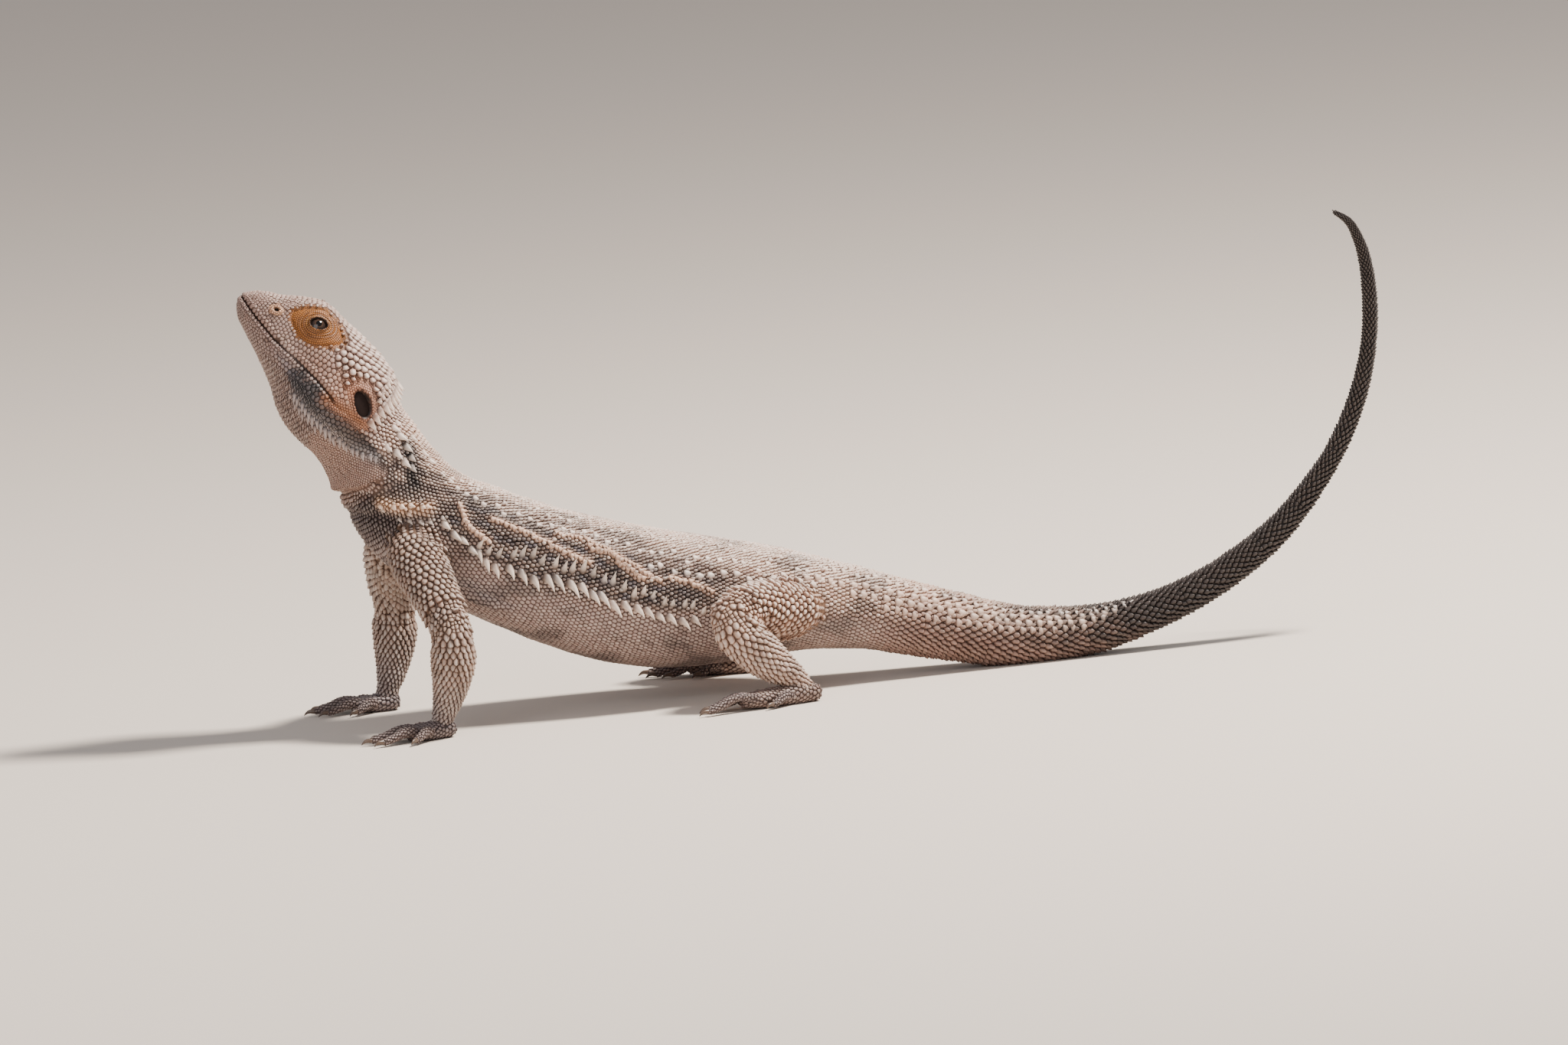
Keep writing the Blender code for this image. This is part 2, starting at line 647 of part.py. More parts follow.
def side_cuts(sign):
    """Cutters for the eyeball, the opening of the lids, the ear's pit and the nostril of one side."""
    place, out, back, rise = side_frame(EYE_PLACE, sign)
    ball = place - out * EYE_DEPTH
    cuts = [add_ball(ball, (out, back, rise), [EYE_RADIUS + GAP] * 3, 12, 8)]
    cuts.append(add_ball(place, (out, *leaned(back, rise, LID_LEAN)), LID_OPENING, 12, 8))
    place, out, back, rise = side_frame(EAR_PLACE, sign)
    cuts.append(add_ball(place, (out, *leaned(back, rise, EAR_LEAN)), EAR_SIZE, 14, 8))
    place, out, back, rise = side_frame(NOSTRIL_PLACE, sign)
    cuts.append(add_ball(place, (out, back, rise), NOSTRIL_SIZE, 8, 6))
    return cuts


def add_head():
    """The head and the jaw with its beard, parted along the line of the mouth."""
    middle, side, up, axis = BODY.frame(HEAD_ENDS / 2)
    head = loft_body("head", BODY.start, HEAD_ENDS - GAP / 2, 2.5, 28, "head skin", bunch=1.35)
    lips = [mouth_line(h, MOUTH_ENDS + 1, LIP_SINK) for h in (LIP_HEIGHT, -LIP_HEIGHT)]
    boolean(head, [add_tube(lip, LIP_RADIUS, 1) for lip in lips], "UNION")
    cuts = [add_tube(mouth_line(0, MOUTH_ENDS), MOUTH_GROOVE, 1), *side_cuts(-1), *side_cuts(1)]
    boolean(head, cuts, "DIFFERENCE")
    jaw = head.copy()
    jaw.data = head.data.copy()
    jaw.data.materials[0] = material("beard skin")
    jaw.name = "jaw"
    bpy.context.scene.collection.objects.link(jaw)
    tall = 60
    above = add_slab(middle + up * (tall - GAP / 2), axis, side, up, (tall, tall, tall))
    below = add_slab(middle - up * (tall - GAP / 2), axis, side, up, (tall, tall, tall))
    boolean(head, [below], "DIFFERENCE")
    boolean(jaw, [above], "DIFFERENCE")
    return head, jaw


def add_eyes_and_ears():
    """The eyeballs under their lids, and the eardrums in their pits."""
    for sign, word in ((-1, "left"), (1, "right")):
        place, out, back, rise = side_frame(EYE_PLACE, sign)
        ball = place - out * EYE_DEPTH
        add_ball(ball, (out, back, rise), [EYE_RADIUS] * 3, 14, 9, f"eye_{word}", "eye")
        place, out, back, rise = side_frame(EAR_PLACE, sign)
        drum = place - out * (EAR_SIZE[0] * 0.55 - GAP)
        sizes = (DRUM_HALF_THICKNESS, EAR_SIZE[1] * DRUM_SHARE, EAR_SIZE[2] * DRUM_SHARE)
        add_ball(drum, (out, *leaned(back, rise, EAR_LEAN)), sizes, 10, 6, f"eardrum_{word}", "eardrum")


def digit(root, heading, length, arch, sign):
    """A finger or toe and its claw, lying forward from its root with a bend at the knuckle."""
    turn = math.radians(heading)
    ahead = np.array((-math.cos(turn), sign * math.sin(turn), 0))
    thick, thin = DIGIT_RADII
    base = np.array((root[0], sign * root[1], 2.2))
    knuckle = base + ahead * length * 0.45 + np.array((0, 0, arch))
    tip = base + ahead * length
    tip[2] = thin + 0.45
    rows = [
        (*(base - ahead * 2.4), thick, thick),
        (*knuckle, thick * 0.95, thick * 0.95),
        (*(base + ahead * length * 0.74 + np.array((0, 0, arch * 0.35 - 0.4))), thin * 1.15, thin * 1.15),
        (*tip, thin, thin),
    ]
    toe = loft_limb("digit", Limb(rows, 1), 4.4, 6, dome=0)
    down = (tip[2] - 0.5) / CLAW_LENGTH
    direction = ahead * math.sqrt(1 - down * down) - np.array((0, 0, down))
    claw = add_cone(tip + ahead * thin * 0.6, direction, CLAW_LENGTH, CLAW_RADIUS, 5, 0.5)
    return [toe, claw]


def add_limb(word, sign):
    """An arm and a leg of one side, each in three pieces that meet face to face."""
    shift = RIGHT_ARM_SHIFT if sign > 0 else 0.0
    chains = (
        ("upper_arm", UPPER_ARM, "forearm", FOREARM, "hand", PALM, FINGERS, shift),
        ("thigh", THIGH, "shank", SHANK, "foot", SOLE, TOES, 0.0),
    )
    for root_name, root_rows, mid_name, mid_rows, end_name, end_rows, digits, move in chains:
        # The root stays in the body, so only the outer end of the chain moves.
        eased = [(x + move * min(1, (y - root_rows[0][1]) / 30), y, z, a, b) for x, y, z, a, b in root_rows]
        root, mid, end = Limb(eased, sign), Limb(mid_rows, sign, move), Limb(end_rows, sign, move)
        top = loft_limb(f"{root_name}_{word}", root)
        boolean(top, [loft_neck("grown", GAP), loft_torso("grown", GAP)], "DIFFERENCE")
        middle = loft_limb(f"{mid_name}_{word}", mid)
        boolean(middle, [loft_limb("grown", root, grown=GAP)], "DIFFERENCE")
        last = loft_limb(f"{end_name}_{word}", end, 3.8, 8)
        grown_digits = []
        for x, y, heading, length, arch in digits:
            grown_digits += digit((x + move, y), heading, length, arch, sign)
        boolean(last, grown_digits, "UNION")
        boolean(last, [loft_limb("grown", mid, grown=GAP), floor_box()], "DIFFERENCE")


def thigh_spines(word, sign, draw):
    """Short spines on the back of the thigh."""
    thigh = Limb(THIGH, sign)
    start, end, count, height, radius = THIGH_SPINES
    made = []
    for i in range(count):
        s = thigh.length * (start + (end - start) * (i // 2) / (count // 2 - 1))
        centre, side, up, axis = thigh.frame(s)
        back = np.array((0.8, 0, 0.55 if i % 2 else 0.05)) + draw.uniform(-0.05, 0.05, 3)
        back -= axis * back.dot(axis)
        back /= np.linalg.norm(back)
        across, deep = smooth(thigh.knots, thigh.sizes, s)
        reach = 1 / math.hypot(back.dot(side) / across, back.dot(up) / deep)
        direction = back + np.array((0.5, 0, 0.1))
        made.append(add_cone(centre + back * reach, direction, height * draw.uniform(0.85, 1.15), radius))
    boolean(bpy.data.objects[f"thigh_{word}"], made, "UNION")


def loft_neck(name, grown=0.0):
    """The neck, or a neck grown to cut the limbs back to it."""
    return loft_body(name, HEAD_ENDS + GAP / 2, NECK_ENDS - GAP / 2 + grown, 5.5, 26, grown=grown)


def loft_torso(name, grown=0.0):
    """The torso, or a torso grown to cut the limbs back to it."""
    return loft_body(name, NECK_ENDS + GAP / 2 - grown, TORSO_ENDS - GAP / 2, 7.2, 26, grown=grown)


def add_trunk(draw):
    """Neck, torso and the lengths of the tail."""
    neck = loft_neck("neck")
    rows_of_spines(neck, NECK_SPINES, draw)
    boolean(neck, [piece for sign in (-1, 1) for piece in shoulder_fold(sign, draw)], "UNION")
    torso = loft_torso("torso")
    rows_of_spines(torso, TORSO_SPINES, draw)
    cuts = [TORSO_ENDS, *TAIL_CUTS, BODY.end + GAP / 2]
    names = ("tail_base", "tail_middle", "tail_raised", "tail_tip")
    sides = (20, 16, 12, 10)
    for name, around, start, end in zip(names, sides, cuts, cuts[1:]):
        colour = "back skin" if name == "tail_base" else "dark tail skin"
        piece = loft_body(name, start + GAP / 2, end - GAP / 2, 5.8, around, colour)
        if name == "tail_base":
            rows_of_spines(piece, TAIL_SPINES, draw)
        if name in ("tail_base", "tail_middle"):
            boolean(piece, [floor_box()], "DIFFERENCE")


def clear_scene():
    """Removes the objects that are in the scene already."""
    for found in list(bpy.data.objects):
        bpy.data.objects.remove(found)


def gather(name):
    """Moves the finished nodes into a collection named for the model, shaded smooth."""
    home = bpy.data.collections.new(name)
    bpy.context.scene.collection.children.link(home)
    for made in list(bpy.context.scene.collection.objects):
        bpy.context.scene.collection.objects.unlink(made)
        home.objects.link(made)
        made.data.name = made.name
        made.data.set_sharp_from_angle(angle=math.radians(50))


def main():
    """Builds every node of the model."""
    clear_scene()
    draw = np.random.default_rng(SEED)
    head, jaw = add_head()
    rows_of_spines(head, HEAD_SPINES, draw)
    rows_of_spines(jaw, JAW_SPINES, draw)
    add_eyes_and_ears()
    add_trunk(draw)
    for sign, word in ((-1, "left"), (1, "right")):
        add_limb(word, sign)
        thigh_spines(word, sign, draw)
    gather("bearded_dragon")


BODY = Body()
main()
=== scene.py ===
"""Dresses the bearded dragon: one skin, eyes, claws, spines and a coat of scales, on a pale studio floor.

Tables are in millimetres, with the head at -X, the tail at +X and the animal's left side at -Y.
"""

import itertools
import json
import logging
import math
from collections.abc import Callable
from dataclasses import dataclass, field
from enum import Enum

import bpy
import numpy as np
from mathutils import Matrix, Vector
from mathutils.bvhtree import BVHTree
from mathutils.kdtree import KDTree

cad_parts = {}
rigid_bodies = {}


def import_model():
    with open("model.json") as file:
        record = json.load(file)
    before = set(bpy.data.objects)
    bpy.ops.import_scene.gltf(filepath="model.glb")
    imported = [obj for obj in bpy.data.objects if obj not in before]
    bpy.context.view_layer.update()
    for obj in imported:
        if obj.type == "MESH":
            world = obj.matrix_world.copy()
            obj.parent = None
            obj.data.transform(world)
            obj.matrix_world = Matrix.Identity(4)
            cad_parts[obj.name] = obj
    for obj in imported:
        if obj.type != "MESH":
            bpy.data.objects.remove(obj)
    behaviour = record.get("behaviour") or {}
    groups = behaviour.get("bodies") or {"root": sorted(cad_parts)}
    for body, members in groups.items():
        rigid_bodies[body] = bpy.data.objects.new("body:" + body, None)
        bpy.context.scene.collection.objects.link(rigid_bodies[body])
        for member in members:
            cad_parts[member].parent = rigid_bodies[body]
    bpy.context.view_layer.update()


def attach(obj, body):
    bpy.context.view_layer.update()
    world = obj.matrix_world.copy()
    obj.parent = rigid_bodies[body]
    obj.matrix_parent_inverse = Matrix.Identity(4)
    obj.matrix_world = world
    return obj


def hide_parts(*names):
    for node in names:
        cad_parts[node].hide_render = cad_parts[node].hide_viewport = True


LOG = logging.getLogger("dragon")
Array = np.ndarray
MM = 0.001
SEED = 7

# The head is a straight run of sections behind the tip of the mouth.
MOUTH_TIP = (-165.1, 128.6)
HEAD_PITCH = 54.2
HEAD_TURN = 8.0
TURN_ENDS_AT = -95.0

# Behind the tip: distance, top, bottom, half width, level of the widest line, squareness above and below
HEAD = (
    (0.9, 1.5, 1.2, 2.2, 0.2, 2.2, 2.2),
    (1.4, 2.9, 2.2, 3.5, 0.2, 2.3, 2.2),
    (2.0, 3.9, 2.9, 4.4, 0.1, 2.3, 2.2),
    (2.8, 4.9, 3.5, 5.2, 0.0, 2.4, 2.2),
    (4.3, 6.3, 4.6, 6.3, 0.0, 2.5, 2.2),
    (8.0, 9.1, 5.8, 7.9, 0.0, 2.6, 2.2),
    (12.5, 13.3, 6.9, 9.9, 0.0, 2.8, 2.2),
    (17.5, 16.6, 8.1, 12.0, 0.0, 2.9, 2.2),
    (22.0, 17.7, 9.4, 13.8, 0.0, 2.8, 2.2),
    (27.0, 18.2, 11.2, 15.8, -0.6, 2.6, 2.2),
    (32.0, 18.5, 13.4, 17.6, -1.2, 2.4, 2.3),
    (37.0, 18.9, 14.7, 18.9, -2.0, 2.3, 2.3),
    (42.0, 18.9, 14.7, 19.4, -2.6, 2.2, 2.3),
    (46.5, 18.4, 14.3, 18.9, -3.0, 2.2, 2.2),
    (50.0, 16.9, 14.0, 17.4, -3.0, 2.1, 2.1),
    (52.5, 15.0, 13.8, 16.0, -2.6, 2.0, 2.1),
    (55.5, 14.1, 13.9, 15.2, -2.0, 2.0, 2.0),
)
# Neck, trunk and tail: X and Z of the section's centre, top, bottom, half width
TRUNK = (
    (-129.5, 79.3, 13.6, 15.1, 14.8),
    (-125.0, 70.5, 14.8, 16.6, 15.4),
    (-119.3, 61.8, 16.0, 17.6, 16.6),
    (-111.5, 54.0, 18.2, 17.8, 18.8),
    (-101.0, 47.0, 19.6, 17.6, 21.0),
    (-90.0, 41.0, 20.6, 17.6, 23.0),
    (-78.0, 36.0, 21.2, 18.6, 24.8),
    (-65.0, 32.0, 21.1, 19.8, 26.0),
    (-50.0, 29.0, 20.0, 20.0, 26.0),
    (-35.0, 27.0, 18.5, 18.4, 24.2),
    (-20.0, 25.4, 16.3, 16.0, 20.4),
    (-6.0, 23.0, 14.0, 13.3, 17.0),
    (8.0, 20.0, 12.1, 11.6, 14.4),
    (22.0, 16.0, 10.7, 10.3, 12.4),
    (36.0, 12.4, 9.4, 9.8, 10.8),
    (50.0, 8.9, 8.3, 9.2, 9.4),
    (64.0, 7.7, 7.3, 8.0, 7.9),
    (78.0, 8.0, 6.4, 6.9, 6.7),
    (90.0, 10.0, 5.6, 5.5, 5.8),
    (100.0, 12.8, 5.1, 4.9, 5.2),
    (111.0, 17.2, 4.7, 4.5, 4.7),
    (121.5, 23.0, 4.4, 4.3, 4.3),
    (131.7, 30.0, 3.9, 3.9, 3.8),
    (141.8, 39.9, 3.3, 3.3, 3.2),
    (151.9, 52.7, 2.7, 2.7, 2.6),
    (160.2, 69.0, 2.4, 2.4, 2.3),
    (164.4, 84.0, 2.1, 2.1, 2.0),
    (165.5, 96.5, 2.0, 2.0, 1.8),
    (165.2, 105.0, 1.8, 1.8, 1.6),
    (163.6, 113.2, 1.5, 1.5, 1.3),
    (160.8, 119.2, 1.1, 1.1, 1.0),
    (156.9, 122.3, 0.6, 0.6, 0.6),
)
# Swellings on the head: distance behind the tip, height above the mouth line, half length, half height, rise
SWELLINGS = (
    (20.0, 11.0, 6.0, 4.4, 1.9),
    (21.0, 15.4, 7.5, 2.2, 0.8),
    (37.0, -1.5, 7.0, 5.0, 0.9),
    (8.4, 5.4, 3.0, 2.0, 0.5),
    (33.0, 12.5, 6.5, 3.0, 0.7),
)
HEAD_ENDS = 54.0
# Ovals on the side of the head: distance behind the tip and height, lean from tailward to upward, half sizes
OPENING = ((20.2, 11.6), 30.0, (2.35, 1.7))
LIDS = ((20.4, 11.2), 14.0, (8.8, 5.9))
LIDS_POWER = 1.5
EAR = ((45.9, 7.4), -18.0, (4.1, 2.55))
NOSTRIL = ((9.6, 5.7), 20.0, (0.62, 0.48))
# Height of the mouth's line at distances behind the tip
MOUTH = ((-1, 0.15), (1.2, 0.15), (8, -0.3), (15.5, -0.35), (24, 0.95), (32, 1.7), (39.5, 1.6))
MOUTH_ENDS = 39.5

# Limb paths: X, Y outward from the middle, Z, half width, half depth
UPPER_ARM = (
    (-120.0, 4.0, 57.0, 9.0, 9.5),
    (-122.4, 12.0, 52.5, 8.8, 9.2),
    (-122.4, 20.0, 47.0, 7.6, 8.0),
    (-120.8, 28.5, 40.5, 6.4, 6.8),
    (-118.8, 34.5, 34.0, 5.8, 6.2),
    (-118.0, 37.0, 30.0, 5.4, 5.8),
)
FOREARM = (
    (-118.6, 37.4, 33.0, 5.2, 5.4),
    (-118.2, 37.9, 27.5, 5.9, 6.3),
    (-118.6, 38.0, 21.5, 5.9, 6.2),
    (-119.8, 37.2, 14.5, 4.9, 5.1),
    (-121.6, 36.0, 8.0, 3.7, 3.7),
    (-123.0, 35.6, 4.2, 3.0, 3.0),
)
PALM = (
    (-121.0, 35.4, 2.6, 3.3, 2.5),
    (-124.0, 35.8, 2.5, 4.2, 2.7),
    (-128.0, 36.6, 2.2, 4.7, 2.5),
    (-131.6, 37.4, 1.9, 4.2, 2.1),
)
THIGH = (
    (-10.0, 3.0, 22.5, 9.0, 11.0),
    (-14.5, 12.0, 24.0, 9.0, 10.6),
    (-21.0, 21.0, 25.6, 8.4, 9.4),
    (-29.5, 29.5, 27.0, 7.4, 8.2),
    (-35.5, 35.5, 26.9, 6.6, 7.2),
)
SHANK = (
    (-37.6, 36.8, 27.4, 5.4, 5.8),
    (-35.2, 37.8, 22.4, 6.4, 6.6),
    (-30.4, 38.6, 16.4, 6.2, 6.4),
    (-24.8, 38.8, 11.2, 5.0, 5.2),
    (-19.6, 38.6, 6.8, 3.6, 3.7),
    (-17.6, 38.5, 4.6, 3.0, 3.1),
)
SOLE = (
    (-14.4, 38.2, 2.6, 2.9, 2.6),
    (-18.0, 38.6, 2.9, 3.8, 3.2),
    (-25.0, 40.2, 2.6, 3.9, 2.9),
    (-31.5, 42.2, 2.6, 4.3, 2.4),
    (-35.5, 43.4, 2.6, 3.6, 2.0),
)
RIGHT_ARM_SHIFT = -4.6
# Digits: start along and across the foot, heading outward in degrees, length, how high the knuckle arches
FINGERS = (
    (-126.5, 33.0, -38.0, 8.0, 0.6),
    (-130.0, 35.2, -14.0, 10.8, 0.9),
    (-131.2, 37.2, 4.0, 12.4, 1.0),
    (-130.4, 39.4, 22.0, 11.6, 0.9),
    (-127.0, 40.0, 52.0, 8.4, 0.6),
)
TOES = (
    (-28.0, 38.0, -26.0, 7.0, 0.8),
    (-32.0, 41.2, -8.0, 10.0, 1.4),
    (-33.2, 43.2, 4.0, 12.6, 2.0),
    (-32.2, 45.2, 16.0, 15.4, 2.4),
    (-21.0, 41.6, 40.0, 9.0, 0.8),
)
DIGIT_RADII = (1.55, 1.0)
CLAW_LENGTH = 3.2
CLAW_RADIUS = 0.75
DOME = 0.8

# The skin lies this far inside the solids, under the scales: distance along the body, depth
TRUNK_INSET = ((0, 0.35), (20, 0.45), (60, 0.5), (90, 0.6), (260, 0.6), (330, 0.5), (400, 0.35), (453, 0.2))
LIMB_INSET = 0.45
DIGIT_INSET = 0.2

# Folds and ridges of the trunk: line of (along the body, angle from the back's middle), reach, rise
RIDGES = (
    (((87.5, 56), (93.5, 72), (101, 76)), 1.3, 1.1),
    (((99.5, 56), (107.8, 56), (115.2, 58), (122.8, 62), (131, 66)), 1.3, 1.1),
    (((119, 48), (128, 46), (136.2, 52), (143, 64), (148.2, 70)), 1.3, 1.1),
    (((130.2, 52), (140, 56), (146, 62), (153.5, 70)), 1.25, 1.0),
    (((156.5, 66), (162.5, 68), (169.2, 76)), 1.2, 0.9),
)
SHOULDER_FOLD = (((71.8, 110), (76.2, 96), (80.8, 78)), 1.5, 1.5)
CREASES = (
    (((100.2, 132), (105.5, 124), (113, 124)), 1.2, -0.8),
    (((97, 140), (104, 137), (111, 134)), 1.0, 0.5),
    (((70.5, 178), (71, 150), (73.5, 124), (76, 112)), 1.3, -0.9),
    (((57, 66), (62, 76), (66.5, 88)), 0.9, -0.6),
    (((61, 56), (66, 64), (70, 78)), 0.9, -0.5),
)
MOUTH_FOLD = (((38.0, 84), (43.5, 79), (49.5, 73)), 0.55, -0.55)
# Where the throat's pouch starts and where it ends in a crease: angle, distance along the body
THROAT = ((90, 61), (97, 55.5), (101, 49.5), (106, 45), (112, 43), (125, 43), (150, 45), (180, 46))
POUCH = ((76, 67.5), (98, 68.8), (112, 67.2), (142, 64.6), (180, 64.4))

BEARD_STREAK = ((28, 99), (33, 96.5), (38, 91), (43.5, 87), (50, 83.5), (58, 82), (63, 84))
BEARD_PALE = ((31, 112), (36, 108), (41, 103), (46, 99.5), (53, 96), (60, 91))
NECK_BLACK = ((63.5, 50), (66, 57), (69.5, 66), (73, 70))
TAN_FOLD = ((37, 84), (42, 80), (50, 72))
# Millimetres round the body for each degree, at the ridges
RIDGE_DEGREE = 0.37


def smooth(knots: Array, values: Array, at: Array) -> Array:
    """Values at places along a row of knots, on a curve that passes through them all.

    Args:
        knots: Rising positions.
        values: One value or row of values at each knot.
        at: Positions asked for.

    Returns:
        The values there.
    """
    knots, values, at = np.asarray(knots, float), np.asarray(values, float), np.asarray(at, float)
    slopes = np.gradient(values, knots, axis=0)
    i = np.clip(np.searchsorted(knots, at) - 1, 0, len(knots) - 2)
    step = knots[i + 1] - knots[i]
    t = (at - knots[i]) / step
    if values.ndim > 1:
        step, t = step[..., None], t[..., None]
    start, end = values[i], values[i + 1]
    return (
        (1 + 2 * t) * (1 - t) ** 2 * start
        + t * (1 - t) ** 2 * step * slopes[i]
        + t * t * (3 - 2 * t) * end
        - t * t * (1 - t) * step * slopes[i + 1]
    )


def step_up(low: float, high: float, at: Array) -> Array:
    """A soft step from 0 at low to 1 at high; low may be the greater."""
    t = np.clip((np.asarray(at, float) - low) / (high - low), 0, 1)
    return t * t * (3 - 2 * t)


def on_line(line: tuple, at: Array) -> Array:
    """The second values of a line of pairs, at places among the first."""
    return np.interp(at, *np.array(line).T)


def bell(at: Array, middle: float, reach: float) -> Array:
    """A soft hump of height 1."""
    return np.exp(-(((at - middle) / reach) ** 2))


def only(kept: Array, *rows: Array) -> tuple[Array, ...]:
    """The kept entries of several rows."""
    return tuple(row[kept] for row in rows)


def unit(rows: Array) -> Array:
    """Rows scaled to length 1."""
    return rows / np.maximum(np.linalg.norm(rows, axis=-1, keepdims=True), 1e-9)


def level_with(out: Array, ways: Array) -> Array:
    """Ways laid flat on surfaces whose ways out are given."""
    return unit(ways - out * np.sum(ways * out, 1)[:, None])


def mottle(points: Array, size: float, seed: int) -> Array:
    """A smooth pattern of blotches in space, from about -1 to 1."""
    draw = np.random.default_rng(seed)
    total = np.zeros(len(points))
    for _ in range(7):
        way = unit(draw.normal(size=3))
        total += np.sin(points @ way * (2 * math.pi / size * draw.uniform(0.7, 1.5)) + draw.uniform(0, 6.28))
    return total / 2.6


def near_line(s: Array, angle: Array, line: tuple, per_degree: float) -> Array:
    """Distance in millimetres from places on the body to a line drawn on it.

    Args:
        s: Distances along the body.
        angle: Angles from the back's middle, without their sign.
        line: Pairs of distance and angle.
        per_degree: Millimetres for each degree round the body.

    Returns:
        The distance of each place to the line.
    """
    place = np.stack((s, angle * per_degree), 1)
    nodes = np.array([(a, b * per_degree) for a, b in line], float)
    best = np.full(len(place), 1e9)
    for start, end in zip(nodes, nodes[1:]):
        way = end - start
        t = np.clip(((place - start) @ way) / (way @ way), 0, 1)
        best = np.minimum(best, np.linalg.norm(place - start - t[:, None] * way, axis=1))
    return best


def srgb(red: float, green: float, blue: float) -> Array:
    """A linear colour from the 0 to 255 values in which colours are usually named."""
    values = np.array((red, green, blue)) / 255
    return np.where(values < 0.04045, values / 12.92, ((values + 0.055) / 1.055) ** 2.4)


class Side(Enum):
    """The two sides of the animal."""

    LEFT = -1
    RIGHT = 1


class Tube:
    """A closed round form that is known by distance along it and angle round it."""

    name = "tube"
    start = 0.0
    end = 1.0

    def points(self, s: Array, degrees: Array) -> Array:
        """Points of the surface."""
        raise NotImplementedError

    def frames(self, s: Array) -> tuple[Array, Array, Array, Array]:
        """Centre, side, up and axis of sections."""
        raise NotImplementedError

    def normals(self, s: Array, degrees: Array) -> Array:
        """The ways out of the surface."""
        along = self.points(s + 0.3, degrees) - self.points(s - 0.3, degrees)
        around = self.points(s, degrees + 1.5) - self.points(s, degrees - 1.5)
        return unit(np.cross(along, around))


class Limb(Tube):
    """A chain of oval sections along a path, with domed ends."""

    def __init__(self, name: str, rows: tuple, sign: int, shift: float, inset: float) -> None:
        """Reads a table of rows.

        Args:
            name: What it is called.
            rows: X, Y outward, Z, half width and half depth.
            sign: Which side it is on.
            shift: How far it is moved along X.
            inset: How far its skin lies inside the solid.
        """
        table = np.array(rows, float)
        table[:, 0] += shift
        table[:, 1] *= sign
        self.name, self.sign = name, sign
        self.knots = np.concatenate([[0], np.cumsum(np.linalg.norm(np.diff(table[:, :3], axis=0), axis=1))])
        self.path, self.sizes = table[:, :3], table[:, 3:] - inset
        self.length = self.knots[-1]
        self.domes = DOME * self.sizes[0].min(), DOME * self.sizes[-1].min()
        self.start, self.end = -self.domes[0], self.length + self.domes[1]

    def frames(self, s: Array) -> tuple[Array, Array, Array, Array]:
        """Centre, side, up and axis of sections."""
        inside = np.clip(s, 0, self.length)
        axis = unit(smooth(self.knots, self.path, inside + 0.3) - smooth(self.knots, self.path, inside - 0.3))
        ahead = np.where(np.abs(axis[:, :1]) < 0.8, np.array([[-1.0, 0, 0]]), np.array([[0, 0, 1.0]]))
        side = unit(np.cross(axis, ahead))
        centre = smooth(self.knots, self.path, inside) + axis * (s - inside)[:, None]
        return centre, side, np.cross(axis, side), axis

    def points(self, s: Array, degrees: Array) -> Array:
        """Points of the surface."""
        centre, side, up, _ = self.frames(s)
        inside = np.clip(s, 0, self.length)
        across, deep = smooth(self.knots, self.sizes, inside).T
        over = np.where(s < 0, -s / self.domes[0], (s - inside) / self.domes[1])
        shrink = np.sqrt(np.clip(1 - over**2, 0, 1))
        angle = np.radians(degrees)
        return centre + (
            side * (across * np.sin(angle) * shrink)[:, None] + up * (deep * np.cos(angle) * shrink)[:, None]
        )


@dataclass
class Oval:
    """An oval place on one side of the head."""

    middle: Array
    out: Array
    long: Array
    short: Array
    half: tuple[float, float]
    power: float = 2.0

    def radius(self, points: Array) -> Array:
        """How far points are from the middle, where 1 is the oval's edge."""
        away = points - self.middle
        a, b = np.abs(away @ self.long) / self.half[0], np.abs(away @ self.short) / self.half[1]
        return np.where(away @ self.out > -9, (a**self.power + b**self.power) ** (1 / self.power), 99.0)


@dataclass
class Face:
    """The oval places on one side of the head."""

    eye: Oval
    lids: Oval
    ear: Oval
    nostril: Oval


